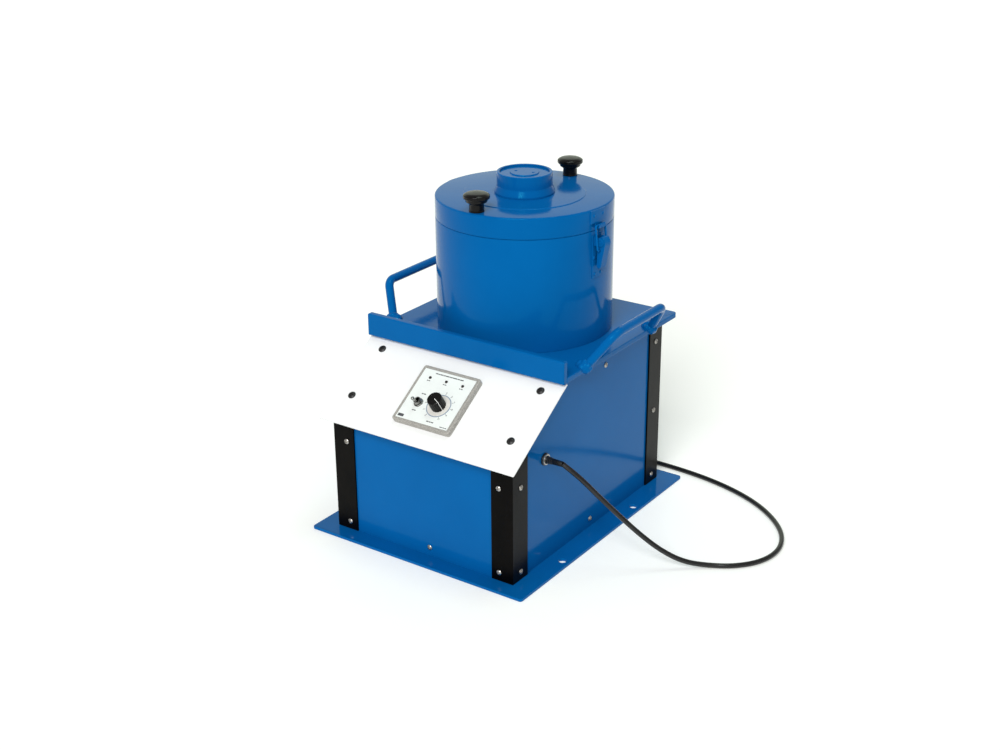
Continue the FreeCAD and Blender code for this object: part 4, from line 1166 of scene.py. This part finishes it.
def cable_gland():
    """The gland round the cord's exit: flange, bright ring, hexagon nut and ribbed sleeve."""
    low, high = corners("cable_gland")
    centre = Vector((0, (low.y + high.y) / 2, (low.z + high.z) / 2))
    wall = corners("right_panel")[1].x
    tip = high.x
    bore = CORD_DIAMETER / MM / 2 + 0.05
    turn = Matrix.Translation(centre * MM) @ Matrix.Rotation(math.pi / 2, 4, "Y")
    bm = bmesh.new()
    outline = [
        (bore, low.x, 0),
        (7.9, low.x, 0.4),
        (7.9, wall, 0),
        (10.4, wall, 0.3),
        (10.4, wall + 2.6, 0.9),
        (8.0, wall + 3.2, 0.3),
        (6.4, wall + 6.4, 0.5),
    ]
    start = wall + 7.4
    pitch = GLAND_RIB_PITCH
    for k in range(GLAND_RIBS):
        radius = 6.2 - 0.4 * k
        x = start + pitch * k
        outline += [(radius, x, 0.25), (radius, x + 0.55 * pitch, 0.25)]
        outline += [(radius - 0.6, x + 0.62 * pitch, 0.2), (radius - 0.6, x + 0.95 * pitch, 0.2)]
    outline += [(5.0, start + GLAND_RIBS * pitch, 0.5), (bore + 0.25, tip, 0.2), (bore, tip, 0)]
    add_lathe(bm, rounded(outline, steps=3), steps=64)
    point = GLAND_NUT_HALF / math.cos(math.pi / 6)
    angles = [k * math.pi / 3 for k in range(6)]
    hexagon = [(point * math.cos(a), point * math.sin(a), 0.8) for a in angles]
    inner = wall - 1.5
    add_prism(bm, rounded(hexagon), inner - 4.4, inner - 0.1)
    piece = finish_piece("cable_gland_piece", bm, cord_rubber, "cabinet", turn)
    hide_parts("cable_gland")
    bm = bmesh.new()
    foot = wall + 2.9
    ring = [(7.4, foot, 0), (9.2, foot, 0.3), (9.0, foot + 2.1, 0.5), (7.0, foot + 2.3, 0)]
    add_lathe(bm, rounded(ring), steps=64)
    finish_piece("cable_gland_ring", bm, zinc, "cabinet", turn)


cable_gland()
plug = softened("mains_plug", cord_rubber, 1.2, 3)

# ---- floor and light -----------------------------------------------------------------------

FLOOR_HALF = 14.0
FLOOR_Z = -0.0002
GLOW_NEAR = (2.5, 0.2)
GLOW_FAR = (5.0, 0.42)
SKY_STRENGTH = 0.38


def brighten_far(material, near, far):
    """Let a material's glow rise with distance between two pairs of (metres, strength)."""
    nodes, links = material.node_tree.nodes, material.node_tree.links
    shader = next(node for node in nodes if node.type == "BSDF_PRINCIPLED")
    place = nodes.new("ShaderNodeTexCoord")
    distance = nodes.new("ShaderNodeVectorMath")
    distance.operation = "LENGTH"
    rise = nodes.new("ShaderNodeMapRange")
    rise.inputs["From Min"].default_value, rise.inputs["To Min"].default_value = near
    rise.inputs["From Max"].default_value, rise.inputs["To Max"].default_value = far
    links.new(place.outputs["Object"], distance.inputs[0])
    links.new(distance.outputs["Value"], rise.inputs["Value"])
    links.new(rise.outputs["Result"], shader.inputs["Emission Strength"])


def make_stage():
    """A plain pale floor and a pale sky."""
    bm = bmesh.new()
    sides = ((-1, -1), (1, -1), (1, 1), (-1, 1))
    bm.faces.new([bm.verts.new((x * FLOOR_HALF, y * FLOOR_HALF, FLOOR_Z)) for x, y in sides])
    mesh = bpy.data.meshes.new("floor")
    bm.to_mesh(mesh)
    bm.free()
    floor = bpy.data.objects.new("floor", mesh)
    bpy.context.scene.collection.objects.link(floor)
    mesh.materials.append(
        finish_material(
            "pale_floor",
            ((0.90, 0.90, 0.90), (0.885, 0.885, 0.885)),
            patch=1.5,
            roughness=(0.7, 0.85),
            grain=60.0,
            grain_bump=(0.02, 0.0005),
            Emission_Color=(0.96, 1.0, 0.87, 1.0),
            Emission_Strength=GLOW_NEAR[1],
        )
    )
    brighten_far(mesh.materials[0], GLOW_NEAR, GLOW_FAR)
    world = bpy.data.worlds.new("sky")
    world.use_nodes = True
    background = world.node_tree.nodes["Background"]
    background.inputs["Color"].default_value = (1.0, 1.0, 1.0, 1)
    background.inputs["Strength"].default_value = SKY_STRENGTH
    bpy.context.scene.world = world


def soft_light(name, place, target, size, radiance, tint=(1.0, 1.0, 1.0)):
    """A rectangular area light that looks at a point, set by how bright its face looks."""
    data = bpy.data.lights.new(name, "AREA")
    data.shape = "RECTANGLE"
    data.size = size[0]
    data.size_y = size[1]
    data.color = tint
    data.energy = radiance * math.pi * size[0] * size[1]
    light = bpy.data.objects.new(name, data)
    direction = Vector(target) - Vector(place)
    turn = direction.to_track_quat("-Z", "Y").to_matrix().to_4x4()
    light.matrix_world = Matrix.Translation(Vector(place)) @ turn
    bpy.context.scene.collection.objects.link(light)


def sun(azimuth, elevation, angle, strength):
    """A broad distant light, azimuth 0 being straight in front."""
    data = bpy.data.lights.new("sun", "SUN")
    data.energy = strength
    data.angle = math.radians(angle)
    light = bpy.data.objects.new("sun", data)
    a, e = math.radians(azimuth), math.radians(elevation)
    place = Vector((math.sin(a) * math.cos(e), -math.cos(a) * math.cos(e), math.sin(e)))
    light.matrix_world = (-place).to_track_quat("-Z", "Y").to_matrix().to_4x4()
    bpy.context.scene.collection.objects.link(light)


make_stage()
sun(azimuth=18, elevation=38, angle=28, strength=2.2)
soft_light("flash", (1.2, -1.9, 1.85), (0, 0, 0.35), (0.16, 0.10), 70.0)
soft_light("backdrop", (-2.3, 3.3, 2.15), (0, 0, 0.4), (6.5, 3.2), 0.52, (0.86, 1.0, 0.76))
soft_light("overhead", (0.35, 0.1, 2.6), (0, 0, 0.3), (0.9, 0.7), 5.0, (0.85, 1.0, 0.9))

scene = bpy.context.scene
scene.view_settings.view_transform = "Standard"
scene.view_settings.look = "None"
